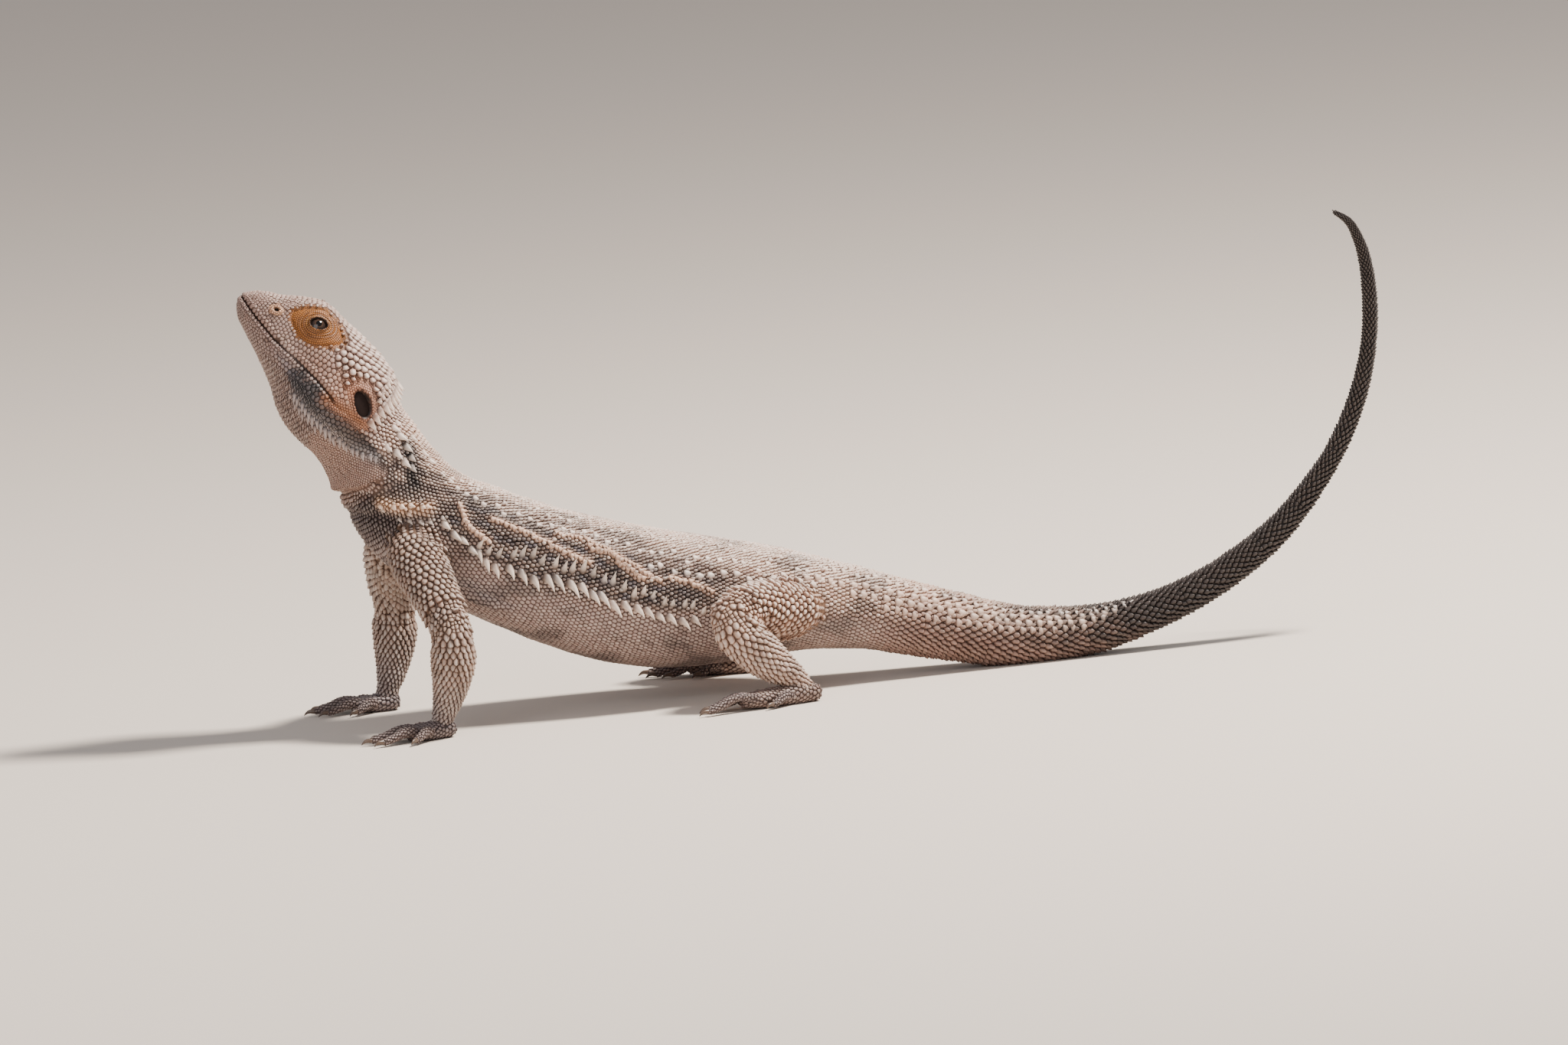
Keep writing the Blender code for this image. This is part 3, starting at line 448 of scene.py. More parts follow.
class Body(Tube):
    """The row of cross-sections from the snout to the tip of the tail, with its relief."""

    name = "body"

    def __init__(self) -> None:
        """Lays out the sections and the oval places of the head."""
        pitch = math.radians(HEAD_PITCH)
        back = np.array((math.cos(pitch), -math.sin(pitch)))
        rows = [(*(MOUTH_TIP + back * h[0]), *h[1:]) for h in HEAD]
        rows += [(x, z, top, bottom, half, 0.0, 2.1, 2.1) for x, z, top, bottom, half in TRUNK]
        table = np.array(rows)
        steps = np.hypot(*np.diff(table[:, :2], axis=0).T)
        self.knots = HEAD[0][0] + np.concatenate([[0], np.cumsum(steps)])
        self.line, self.sizes = table[:, :2], table[:, 2:]
        self.start, self.end = self.knots[0] - 0.4, self.knots[-1] + 0.5
        self.turn = math.radians(HEAD_TURN) * np.clip((TURN_ENDS_AT - table[:, 0]) / 30.0, 0, 1)
        self.aside = np.concatenate([np.cumsum((self.turn[1:] * np.diff(table[:, 0]))[::-1])[::-1], [0]])
        ovals = (OPENING, LIDS, EAR, NOSTRIL)
        self.faces = {side: Face(*(self.oval(side.value, *row) for row in ovals)) for side in Side}
        for face in self.faces.values():
            face.lids.power = LIDS_POWER

    def frames(self, s: Array) -> tuple[Array, Array, Array, Array]:
        """Centre, side, up and axis of sections."""
        line = smooth(self.knots, self.line, s)
        ahead = unit(smooth(self.knots, self.line, s + 0.5) - smooth(self.knots, self.line, s - 0.5))
        turn = smooth(self.knots, self.turn, s)
        side = np.stack((np.sin(turn), np.cos(turn), turn * 0), 1)
        axis = np.stack((ahead[:, 0] * np.cos(turn), -ahead[:, 0] * np.sin(turn), ahead[:, 1]), 1)
        centre = np.stack((line[:, 0], smooth(self.knots, self.aside, s), line[:, 1]), 1)
        return centre, side, np.cross(axis, side), axis

    def plain(self, s: Array, degrees: Array) -> tuple[Array, Array]:
        """Points of the surface before its relief, and their height above the section's centre."""
        s, degrees = np.asarray(s, float), np.asarray(degrees, float)
        top, bottom, half, level, above, below = smooth(self.knots, self.sizes, s).T
        deep = on_line(TRUNK_INSET, s)
        top, bottom, half = (np.maximum(size - deep, 0.3) for size in (top, bottom, half))
        c, w = np.cos(np.radians(degrees)), np.sin(np.radians(degrees))
        power = 2 / np.where(c > 0, above, below)
        reach = np.where(c > 0, top - level, bottom + level)
        across = np.sign(w) * np.abs(w) ** power * half
        height = level + np.sign(c) * np.abs(c) ** power * reach
        away = np.maximum(np.hypot(across, height - level), 1e-6)
        out = sum(
            rise * np.exp(-(((s - along) / length) ** 2) - ((height - at) / tall) ** 2)
            for along, at, length, tall, rise in SWELLINGS
        )
        out = np.where(s < HEAD_ENDS + 2, out * np.abs(w) ** 0.5, 0)
        across, height = across * (1 + out / away), height + (height - level) / away * out
        centre, side, up, _ = self.frames(s)
        return centre + side * across[:, None] + up * height[:, None], height

    def points(self, s: Array, degrees: Array) -> Array:
        """Points of the surface with its relief."""
        s, degrees = np.asarray(s, float), np.asarray(degrees, float)
        places, height = self.plain(s, degrees)
        along = self.plain(s + 0.4, degrees)[0] - self.plain(s - 0.4, degrees)[0]
        around = self.plain(s, degrees + 2)[0] - self.plain(s, degrees - 2)[0]
        return places + unit(np.cross(along, around)) * self.relief(s, degrees, places, height)[:, None]

    def relief(self, s: Array, degrees: Array, places: Array, height: Array) -> Array:
        """How far the surface stands out from its plain section."""
        angle = np.abs(degrees)
        out = np.zeros(len(s))
        head = s < 60
        for face in self.faces.values():
            r = np.where(head, face.eye.radius(places), 99)
            folds = np.cos((r - 1.46) * (2 * math.pi / 0.46)) * step_up(1.2, 1.45, r) * step_up(2.7, 2.2, r)
            out += 0.5 * bell(r, 1.15, 0.12) + 0.13 * folds - 3.0 * step_up(1.02, 0.86, r)
            r = np.where(head, face.lids.radius(places), 99)
            above = step_up(-0.3, 0.5, (places - face.lids.middle) @ face.lids.short / face.lids.half[1])
            out += 0.55 * bell(r, 1.12, 0.12) * above - 0.3 * bell(r, 0.97, 0.07) * head
            r = np.where(head, face.ear.radius(places), 99)
            out += 0.25 * bell(r, 1.25, 0.2) - 1.7 * step_up(1.06, 0.84, r)
            r = np.where(head, face.nostril.radius(places), 99)
            out += 0.5 * bell(r, 2.2, 0.7) - 0.3 * bell(r, 3.9, 0.5) - 1.0 * step_up(1.2, 0.7, r)
        over, in_mouth = height - self.mouth(s), step_up(MOUTH_ENDS + 1, MOUTH_ENDS - 1, s)
        out += (0.3 * bell(np.abs(over), 1.1, 0.55) - 0.8 * bell(over, 0, 0.28)) * in_mouth
        lines = [(MOUTH_FOLD, 0.33), (SHOULDER_FOLD, 0.28)]
        lines += [(line, 0.3) for line in CREASES] + [(line, RIDGE_DEGREE) for line in RIDGES]
        for (line, reach, rise), per_degree in lines:
            out += rise * bell(near_line(s, angle, line, per_degree), 0, reach)
        past = s - on_line(POUCH, angle)
        out += 1.9 * step_up(-17, -4, past) * step_up(0.7, -1.7, past) * step_up(80, 112, angle)
        out -= 0.9 * bell(past, 1.2, 1.2) * step_up(76, 96, angle)
        pleats = step_up(24, 32, s) * step_up(-2, -10, past) * step_up(104, 118, angle)
        out += 0.16 * np.sin(degrees * 0.62 + 2.2 * np.sin(s * 0.35)) * pleats
        out += 0.12 * mottle(places, 9.0, 3) * step_up(58, 75, s) * step_up(260, 220, s)
        return out

    @staticmethod
    def mouth(s: Array) -> Array:
        """Height of the mouth's line."""
        return on_line(MOUTH, s)

    def angle_at(self, s: Array, height: Array) -> Array:
        """Angles from the back's middle at which sections have a height."""
        top, bottom, _, level, above, below = smooth(self.knots, self.sizes, s).T
        up = np.clip((height - level) / (top - level), 0, 1) ** (above / 2)
        down = np.clip((level - height) / (bottom + level), 0, 1) ** (below / 2)
        return np.degrees(np.arccos(np.where(height >= level, up, -down)))

    def locate(self, points: Array) -> tuple[Array, Array, Array]:
        """Distance, angle and height of places on the head, which is a straight run of sections."""
        centre, side, up, axis = (row[0] for row in self.frames(np.array([30.0])))
        away = points - centre
        s, across, height = 30 + away @ axis, away @ side, away @ up
        inside = np.clip(s, self.knots[0], 56)
        top, bottom, half, level, above, below = smooth(self.knots, self.sizes, inside).T
        high = height > level
        power = np.where(high, above, below) / 2
        c = np.abs(height - level) / np.where(high, top - level, bottom + level)
        degrees = np.degrees(np.arctan2(np.abs(across / half) ** power, c**power))
        return s, np.where(high, degrees, 180 - degrees) * np.sign(across), height

    def oval(self, sign: int, place: tuple, lean: float, half: tuple[float, float]) -> Oval:
        """An oval on the side of the head.

        Args:
            sign: Which side.
            place: Distance behind the tip and height above the head's middle line.
            lean: How far its long way turns from tailward to upward, in degrees.
            half: Half sizes.
        """
        at = np.array([place[0]])
        turn = sign * self.angle_at(at, np.array([place[1]]))
        middle = self.plain(at, turn)[0][0]
        along = (self.plain(at + 0.4, turn)[0] - self.plain(at - 0.4, turn)[0])[0]
        around = (self.plain(at, turn + 1.5)[0] - self.plain(at, turn - 1.5)[0])[0]
        out = unit(np.cross(along, around))
        back = self.frames(at)[3][0]
        back = unit(back - out * back.dot(out))
        rise = np.cross(back, out) * sign
        lean = math.radians(lean)
        long = back * math.cos(lean) + rise * math.sin(lean)
        short = rise * math.cos(lean) - back * math.sin(lean)
        return Oval(middle, out, long, short, half)


# Meshes


def use_mode(piece: bpy.types.Object, mode: str) -> None:
    """Makes a piece the only selected one and enters a mode."""
    if bpy.context.mode != "OBJECT":
        bpy.ops.object.mode_set(mode="OBJECT")
    bpy.ops.object.select_all(action="DESELECT")
    piece.select_set(True)
    bpy.context.view_layer.objects.active = piece
    bpy.ops.object.mode_set(mode=mode)


def corners(piece: bpy.types.Object) -> Array:
    """The vertices of a piece as rows."""
    flat = np.empty(len(piece.data.vertices) * 3, np.float32)
    piece.data.vertices.foreach_get("co", flat)
    return flat.reshape(-1, 3).astype(float)


def put_corners(piece: bpy.types.Object, points: Array) -> None:
    """Moves the vertices of a piece."""
    piece.data.vertices.foreach_set("co", np.asarray(points, np.float32).ravel())
    piece.data.update()


def faces_of(piece: bpy.types.Object) -> tuple[Array, Array]:
    """The corner numbers of all faces in one row, and how many each face has."""
    mesh = piece.data
    loops = np.empty(len(mesh.loops), np.int32)
    mesh.loops.foreach_get("vertex_index", loops)
    totals = np.empty(len(mesh.polygons), np.int32)
    mesh.polygons.foreach_get("loop_total", totals)
    return loops, totals


def ball(name: str, segments: int, rings: int) -> tuple[bpy.types.Object, Array, Array]:
    """A unit ball, and the ring and the turn of each of its vertices.

    Args:
        name: Its name.
        segments: How many sides.
        rings: How many bands from pole to pole.

    Returns:
        The object, the ring numbers from 0 at the lower pole, and the turns in radians.
    """
    bpy.ops.object.select_all(action="DESELECT")
    bpy.ops.mesh.primitive_uv_sphere_add(segments=segments, ring_count=rings, radius=1)
    piece = bpy.context.object
    piece.name = piece.data.name = name
    points = corners(piece)
    ring = np.rint(np.arccos(np.clip(-points[:, 2], -1, 1)) / math.pi * rings).astype(int)
    return piece, ring, np.arctan2(points[:, 1], points[:, 0])


def face_outward(piece: bpy.types.Object) -> None:
    """Turns all faces of a closed piece outward."""
    use_mode(piece, "EDIT")
    bpy.ops.mesh.select_all(action="SELECT")
    bpy.ops.mesh.normals_make_consistent(inside=False)
    bpy.ops.object.mode_set(mode="OBJECT")


def shade_smooth(piece: bpy.types.Object) -> None:
    """Smooth shading on every face."""
    piece.data.polygons.foreach_set("use_smooth", np.ones(len(piece.data.polygons), bool))
    piece.data.update()


def new_piece(name: str, points: Array, loops: Array, totals: Array) -> bpy.types.Object:
    """A piece from many copies of a master, given in millimetres.

    Args:
        name: Its name.
        points: Vertices.
        loops: Corner numbers of all faces in one row.
        totals: How many corners each face has.

    Returns:
        The object, in the scene.
    """
    mesh = bpy.data.meshes.new(name)
    mesh.vertices.add(len(points))
    mesh.vertices.foreach_set("co", (points * MM).astype(np.float32).ravel())
    mesh.loops.add(len(loops))
    mesh.loops.foreach_set("vertex_index", loops.astype(np.int32))
    mesh.polygons.add(len(totals))
    mesh.polygons.foreach_set("loop_start", np.concatenate([[0], np.cumsum(totals)[:-1]]).astype(np.int32))
    mesh.update(calc_edges=True)
    piece = bpy.data.objects.new(name, mesh)
    bpy.context.scene.collection.objects.link(piece)
    shade_smooth(piece)
    return piece


def paint(piece: bpy.types.Object, colours: Array, name: str = "tint") -> None:
    """Stores a linear colour on each vertex."""
    layer = piece.data.color_attributes.new(name, "FLOAT_COLOR", "POINT")
    flat = np.concatenate([np.clip(colours, 0, 1), np.ones((len(colours), 1))], 1)
    layer.data.foreach_set("color", flat.astype(np.float32).ravel())


def tree_of(places: Array) -> KDTree:
    """A search tree of places."""
    tree = KDTree(len(places))
    for i, place in enumerate(places):
        tree.insert(place, i)
    tree.balance()
    return tree


@dataclass
class Master:
    """A closed form that is modelled once and then copied many times."""

    segments: int
    rings: int
    ring: Array = field(init=False)
    turn: Array = field(init=False)
    loops: Array = field(init=False)
    totals: Array = field(init=False)

    def __post_init__(self) -> None:
        """Makes the form from a ball and keeps its faces."""
        piece, self.ring, self.turn = ball("master", self.segments, self.rings)
        self.loops, self.totals = faces_of(piece)
        bpy.data.objects.remove(piece)

    def copies(self, name: str, points: Array) -> bpy.types.Object:
        """One joined piece from copies.

        Args:
            name: Its name.
            points: Vertices as (copy, vertex, 3), in millimetres.

        Returns:
            The piece.
        """
        count, size = points.shape[:2]
        loops = (self.loops[None] + (np.arange(count) * size)[:, None]).ravel()
        return new_piece(name, points.reshape(-1, 3), loops, np.tile(self.totals, count))


# Markings


class Markings:
    """The colours of skin and coat, drawn on the body by distance and angle."""

    back = srgb(200, 167, 147)
    # partly painted shade: the lower side's darker tone is partly its own and partly the shade of the
    # underside
    belly = srgb(143, 117, 108)
    dark = srgb(58, 44, 42)
    ridge = srgb(186, 146, 121)
    lid = srgb(146, 88, 24)
    tan = srgb(156, 92, 50)
    streak = srgb(44, 38, 40)
    pale = srgb(148, 138, 136)
    throat = srgb(146, 113, 98)
    black = srgb(24, 18, 19)
    tail = srgb(25, 16, 15)
    limb = srgb(174, 137, 114)
    # partly the feet's own grey, partly painted shade of hands and feet in the shadow under the body
    hand = srgb(104, 91, 92)

    def __init__(self, body: Body) -> None:
        """Keeps the body on which the markings lie."""
        self.body = body

    @staticmethod
    def lay(under: Array, *layers: tuple[Array, Array]) -> Array:
        """Lays colours over others, each by an amount from 0 to 1."""
        for colour, amount in layers:
            under = under + (colour - under) * np.clip(amount, 0, 1)[:, None]
        return under

    def trunk(self, s: Array, degrees: Array, points: Array) -> Array:
        """Colours of head, neck, torso and tail.

        Args:
            s: Distances along the body.
            degrees: Angles from the back's middle.
            points: The same places in space.

        Returns:
            Linear colours.
        """
        angle = np.abs(degrees)
        coarse, fine = mottle(points, 13, 21), mottle(points, 4.2, 22)
        blotches = step_up(-0.1, 1.2, coarse + 0.4 * fine) * step_up(60, 75, s)
        made = np.tile(self.back, (len(s), 1))
        # the belly's colour over the lower side, partly painted shade of the underside
        made = self.lay(made, (self.belly, step_up(75, 105, angle)), (self.dark, 0.6 * blotches))
        made = self.flank(made, s, angle, fine)
        made = self.neck(made, s, angle, fine)
        made = self.head(made, s, angle, points, fine)
        ring = 0.5 + 0.5 * np.sin(s * 2 * math.pi / 9.5)
        bands = step_up(226, 250, s) * step_up(330, 290, s) * ring * 0.3
        turn = step_up(246, 306, s + 6 * fine + 9 * np.cos(np.radians(degrees)))
        return self.lay(
            made,
            (srgb(128, 94, 80), 0.75 * step_up(206, 236, s) * step_up(48, 78, angle)),
            (self.dark, bands * step_up(140, 90, angle)),
            (self.tail, turn * 0.97),
        )

    def flank(self, made: Array, s: Array, angle: Array, fine: Array) -> Array:
        """The dark bands and pale ridges on the side of the torso."""
        upper = angle - np.interp(s, (80, 95, 120, 160, 176), (34, 38, 40, 54, 66))
        zone = step_up(80, 88, s) * step_up(180, 160, s) * step_up(-6, 8, upper) * step_up(94, 86, angle)
        above = step_up(84, 94, s) * step_up(190, 160, s) * step_up(-22, -10, upper) * step_up(6, -4, upper)
        hip = step_up(150, 165, s) * step_up(210, 195, s) * step_up(50, 66, angle) * step_up(94, 84, angle)
        near = ((near_line(s, angle, line, RIDGE_DEGREE), reach * 0.9) for line, reach, _ in RIDGES)
        ridges = [(self.ridge, bell(away, 0, reach)) for away, reach in near]
        return self.lay(
            made,
            (self.dark, zone * (0.84 + 0.16 * fine)),
            (srgb(118, 112, 120), 0.5 * zone * step_up(0.5, 1.4, fine)),
            (srgb(104, 79, 69), 0.85 * above * (0.75 + 0.35 * fine)),
            (self.dark, 0.5 * hip),
            *ridges,
            (srgb(112, 106, 112), 0.7 * bell(s, 103, 11) * bell(angle, 124, 10)),
            (srgb(122, 96, 84), 0.7 * bell(s, 92, 9) * bell(angle, 100, 12)),
        )

    def neck(self, made: Array, s: Array, angle: Array, fine: Array) -> Array:
        """The dark neck behind the beard, its black patch, the dark underside behind the pouch that is partly
        painted shade, and the pale fold before the shoulder.
        """
        side = step_up(57, 66, s) * step_up(92, 80, s) * step_up(32, 50, angle)
        past = s - on_line(POUCH, angle)
        # partly painted shade: the underside behind the pouch is darkened as under the pouch's overhang,
        # besides its own dark colour
        under = step_up(-0.4, 1.4, past) * step_up(22, 10, past) * step_up(84, 100, angle)
        line, reach, _ = SHOULDER_FOLD
        return self.lay(
            made,
            (srgb(96, 76, 70), side * (0.68 + 0.3 * fine) * step_up(160, 120, angle)),
            (self.black, 0.96 * bell(near_line(s, angle, NECK_BLACK, 0.27), 0, 2.9)),
            (srgb(70, 54, 52), 0.9 * under),
            (srgb(214, 168, 130), bell(near_line(s, angle, line, 0.28), 0, reach * 1.2)),
        )

    def head(self, made: Array, s: Array, angle: Array, points: Array, fine: Array) -> Array:
        """The colours of the head and beard."""
        on = step_up(61, 54, s)
        over = self.body.locate(points)[2] - self.body.mouth(s)
        beard = on * step_up(18, 32, s) * step_up(96, 110, angle)
        past = s - on_line(THROAT, angle)
        streak = bell(near_line(s, angle, BEARD_STREAK, 0.3), 0, 3.4 + 0.5 * fine)
        made = self.lay(
            made,
            (srgb(168, 138, 125), on),
            (srgb(134, 104, 92), 0.9 * step_up(20, 6, s) * step_up(30, 62, angle)),
            (srgb(138, 100, 80), 0.9 * on * bell(s, 29, 10) * bell(angle, 76, 13)),
            (srgb(140, 114, 104), on * step_up(0.3, -0.5, over)),
            (srgb(132, 106, 96), 0.9 * beard),
            (srgb(84, 62, 54), 0.5 * beard * step_up(0.2, 1.2, fine)),
            (self.throat, step_up(-1.5, 1.0, past) * step_up(70, 67, s) * step_up(90, 98, angle)),
            (self.streak, 0.97 * step_up(66, 60, s) * step_up(0.1, 0.55, streak) * step_up(0.6, -0.4, over)),
            (self.pale, 0.75 * step_up(64, 58, s) * bell(near_line(s, angle, BEARD_PALE, 0.3), 0, 2.0)),
            (srgb(124, 120, 130), 0.35 * bell(s, 23, 5) * bell(angle, 103, 8)),
            (self.tan, 0.97 * on * bell(s, 44, 8.5) * bell(angle, 63, 14)),
            (srgb(160, 98, 54), 0.8 * on * bell(near_line(s, angle, TAN_FOLD, 0.33), 0, 1.7)),
            (srgb(70, 46, 36), 0.7 * bell(over, 0, 0.5) * step_up(41, 39, s)),
            (srgb(82, 50, 38), 0.8 * bell(s, 14.6, 1.1) * bell(over, -1.5, 0.9)),
        )
        for face in self.body.faces.values():
            made = self.face(made, face, s, points, fine)
        return made

    def face(self, made: Array, face: Face, s: Array, points: Array, fine: Array) -> Array:
        """The colours round the eye, the ear and the nostril of one side."""
        lids = np.where(s < 40, face.lids.radius(points), 99)
        lid = self.lid * (1 + 0.07 * fine[:, None])
        eye = np.where(s < 40, face.eye.radius(points), 99)
        ear = np.where((s > 30) & (s < 62), face.ear.radius(points), 99)
        nostril = np.where(s < 20, face.nostril.radius(points), 99)
        toward = (points - face.eye.middle) @ face.eye.long
        return self.lay(
            made,
            (lid, step_up(1.1, 0.96, lids + 0.04 * fine)),
            (srgb(196, 142, 84), 0.4 * bell(eye, 1.46, 0.13)),
            (srgb(84, 46, 18), 0.45 * bell(eye, 1.75, 0.1) + 0.35 * bell(eye, 2.4, 0.12)),
            (srgb(66, 38, 20), 0.7 * bell(eye, 1.95, 0.4) * step_up(-3.4, -4.6, toward) * (fine > 0.2)),
            (srgb(34, 20, 13), 0.95 * bell(eye, 1.0, 0.3)),
            (srgb(96, 52, 30), 0.7 * bell(ear, 1.1, 0.16)),
            (srgb(40, 24, 21), step_up(1.1, 0.95, ear)),
            (srgb(222, 172, 136), 0.95 * bell(nostril, 2.3, 1.1)),
            (srgb(40, 26, 21), step_up(1.1, 0.8, nostril)),
        )

    def limbs(self, name: str, share: Array, points: Array) -> Array:
        """Colours of a limb, by its name and the share of its length, with painted light on the thigh and
        painted shade towards the hands and feet.
        """
        coarse, fine = mottle(points, 11, 31), mottle(points, 4, 32)
        word = name.split("_")[0]
        # partly painted light: the raised thigh brightened as lit, the other parts darkened as in shade,
        # besides their own tone
        bright = {"thigh": 1.25, "shank": 0.92}.get(word, 0.66)
        ends = {"forearm": 0.7, "hand": 0.95, "digit": 0.8, "foot": 0.55, "shank": 0.2}.get(word, 0.0)
        toward = share if word in ("forearm", "shank") else 1 + 0 * share
        made = self.lay(
            np.tile(self.limb, (len(share), 1)), (self.dark, 0.3 * step_up(0.0, 1.3, coarse + 0.5 * fine))
        )
        return self.lay(made * bright, (self.hand, ends * step_up(0.4, 1.0, toward)))


# Skin


# Distances between the rings of the trunk's mesh, along the body
RING_STEPS = ((-1.2, 0.35), (3, 0.55), (8, 0.85), (56, 1.1), (100, 1.6), (260, 1.6), (320, 1.3), (453, 0.6))


class Skin:
    """One closed skin over head, trunk, tail, limbs and digits."""

    segments = 74
    limb_segments = 26
    # painted shade: the skin shows only in the gaps between scales, so its colour is darkened as the shade
    # there
    shade = (0.4, 0.37, 0.34)

    def __init__(self, body: Body, limbs: list[Limb], markings: Markings) -> None:
        """Keeps what the skin is made over."""
        self.body, self.limbs, self.markings = body, limbs, markings
        self.known: list[Array] = []
        self.tints: list[Array] = []

    def stations(self) -> Array:
        """Distances along the body at which the trunk's mesh has rings."""
        at, found = self.body.knots[0], []
        while at < self.body.knots[-1] - 0.2:
            found.append(at)
            at += float(on_line(RING_STEPS, at))
        return np.array([self.body.start, *found, self.body.knots[-1], self.body.end])

    def trunk(self) -> bpy.types.Object:
        """The trunk, finer on the head and finest round eyes, ears, nostrils and mouth."""
        stations = self.stations()
        piece, ring, turn = ball("trunk", self.segments, len(stations) - 1)
        out = np.where((ring == 0) | (ring == len(stations) - 1), 0.0, 1.0)
        put_corners(piece, np.stack((stations[ring], out * np.sin(turn), out * np.cos(turn)), 1))
        for chosen in (lambda s, angle: s < 55, self.is_fine, self.is_finest):
            self.refine(piece, chosen)
        rolled = corners(piece)
        s, degrees = rolled[:, 0], np.degrees(np.arctan2(rolled[:, 1], rolled[:, 2]))
        share = np.clip(np.hypot(rolled[:, 1], rolled[:, 2]) / 0.985, 0, 1)
        places = self.body.points(s, degrees)
        centre = self.body.frames(s)[0]
        places = centre + (places - centre) * share[:, None]
        self.keep(places, self.markings.trunk(s, degrees, places))
        put_corners(piece, places * MM)
        face_outward(piece)
        return piece

    def is_fine(self, s: Array, degrees: Array) -> Array:
        """Where the head needs closer faces."""
        places, height = self.body.plain(s, degrees)
        found = (np.abs(height - self.body.mouth(s)) < 1.9) & (s < 42)
        for face in self.body.faces.values():
            found |= (face.lids.radius(places) < 1.15) | (face.ear.radius(places) < 1.5)
            found |= face.nostril.radius(places) < 3.8
        return (found & (s < 55)) | self.on_folds(s, degrees)

    @staticmethod
    def on_folds(s: Array, degrees: Array) -> Array:
        """Where folds and ridges of the trunk need closer faces."""
        lines = [line for line, _, _ in (*RIDGES, *CREASES, SHOULDER_FOLD)]
        away = [near_line(s, np.abs(degrees), line, 0.35) for line in lines]
        return (np.min(away, axis=0) < 2.9) & (s > 54)

    def is_finest(self, s: Array, degrees: Array) -> Array:
        """Where lids, nostrils and the mouth's line need the closest faces."""
        places, height = self.body.plain(s, degrees)
        found = np.abs(height - self.body.mouth(s)) < 0.6
        for face in self.body.faces.values():
            r = face.eye.radius(places)
            found |= ((r < 1.8) & (r > 0.6)) | (face.nostril.radius(places) < 2.6)
        return (found & (s < 41)) | self.on_folds(s, degrees)

    @staticmethod
    def refine(piece: bpy.types.Object, chosen: Callable[[Array, Array], Array]) -> None:
        """Divides the faces whose corners are all chosen."""
        rolled = corners(piece)
        marked = chosen(rolled[:, 0], np.degrees(np.arctan2(rolled[:, 1], rolled[:, 2])))
        loops, totals = faces_of(piece)
        starts = np.concatenate([[0], np.cumsum(totals)[:-1]])
        picked = np.add.reduceat(marked[loops].astype(int), starts) == totals
        use_mode(piece, "EDIT")
        bpy.ops.mesh.select_mode(type="FACE")
        bpy.ops.mesh.select_all(action="DESELECT")
        bpy.ops.object.mode_set(mode="OBJECT")
        piece.data.polygons.foreach_set("select", picked)
        piece.data.update()
        bpy.ops.object.mode_set(mode="EDIT")
        bpy.ops.mesh.subdivide(number_cuts=1)
        bpy.ops.object.mode_set(mode="OBJECT")

    def limb(self, limb: Limb) -> bpy.types.Object:
        """The mesh of one limb piece or digit."""
        small = "digit" in limb.name
        pitch = 0.75 if small else 1.1
        inner = np.linspace(0, limb.length, max(4, round(limb.length / pitch)))
        near, far = limb.domes
        rounds = np.array((0.3, 0.6, 0.85, 0.96))
        stations = np.concatenate(
            [[-near], -near * rounds[::-1], inner, limb.length + far * rounds, [limb.end]]
        )
        piece, ring, turn = ball(limb.name, 12 if small else self.limb_segments, len(stations) - 1)
        s, degrees = stations[ring], np.degrees(turn)
        places = limb.points(s, degrees)
        share = np.clip(s / limb.length, 0, 1)
        self.keep(places, self.markings.limbs(limb.name, share, places))
        put_corners(piece, places * MM)
        face_outward(piece)
        return piece

    def keep(self, places: Array, tints: Array) -> None:
        """Remembers the colours of places, for the joined skin."""
        self.known.append(places)
        self.tints.append(tints)

    def build(self) -> bpy.types.Object:
        """Joins all tubes into one skin, softens its junctions and lays its feet flat.

        Returns:
            The skin.
        """
        skin = self.trunk()
        group = bpy.data.collections.new("joined")
        bpy.context.scene.collection.children.link(group)
        for limb in self.limbs:
            piece = self.limb(limb)
            bpy.context.scene.collection.objects.unlink(piece)
            group.objects.link(piece)
        step = skin.modifiers.new("join", "BOOLEAN")
        step.operation, step.solver = "UNION", "EXACT"
        step.operand_type, step.collection = "COLLECTION", group
        use_mode(skin, "OBJECT")
        bpy.ops.object.modifier_apply(modifier=step.name)
        for piece in list(group.objects):
            bpy.data.objects.remove(piece)
        bpy.data.collections.remove(group)
        self.soften(skin)
        skin.name = skin.data.name = "skin"
        points = corners(skin)
        points[:, 2] = np.maximum(points[:, 2], 0.0)
        put_corners(skin, points)
        shade_smooth(skin)
        self.tint(skin)
        LOG.info("skin: %d faces", len(skin.data.polygons))
        return skin

    @staticmethod
    def soften(skin: bpy.types.Object) -> None:
        """Smooths the edges along which limbs leave the body and one another."""
        use_mode(skin, "EDIT")
        bpy.ops.mesh.select_mode(type="EDGE")
        bpy.ops.mesh.select_all(action="DESELECT")
        bpy.ops.mesh.edges_select_sharp(sharpness=math.radians(22))
        for _ in range(3):
            bpy.ops.mesh.select_more()
        bpy.ops.mesh.select_mode(type="VERT")
        bpy.ops.object.mode_set(mode="OBJECT")
        points = corners(skin) / MM
        chosen = np.empty(len(points), bool)
        skin.data.vertices.foreach_get("select", chosen)
        x, _, z = points.T
        near_limb = (x > -134) & (x < 12) & (z < 74) & (z > 4.5)
        for parts in (skin.data.edges, skin.data.polygons):
            parts.foreach_set("select", np.zeros(len(parts), bool))
        skin.data.vertices.foreach_set("select", chosen & near_limb)
        use_mode(skin, "EDIT")
        bpy.ops.mesh.vertices_smooth(factor=0.5, repeat=10)
        bpy.ops.object.mode_set(mode="OBJECT")

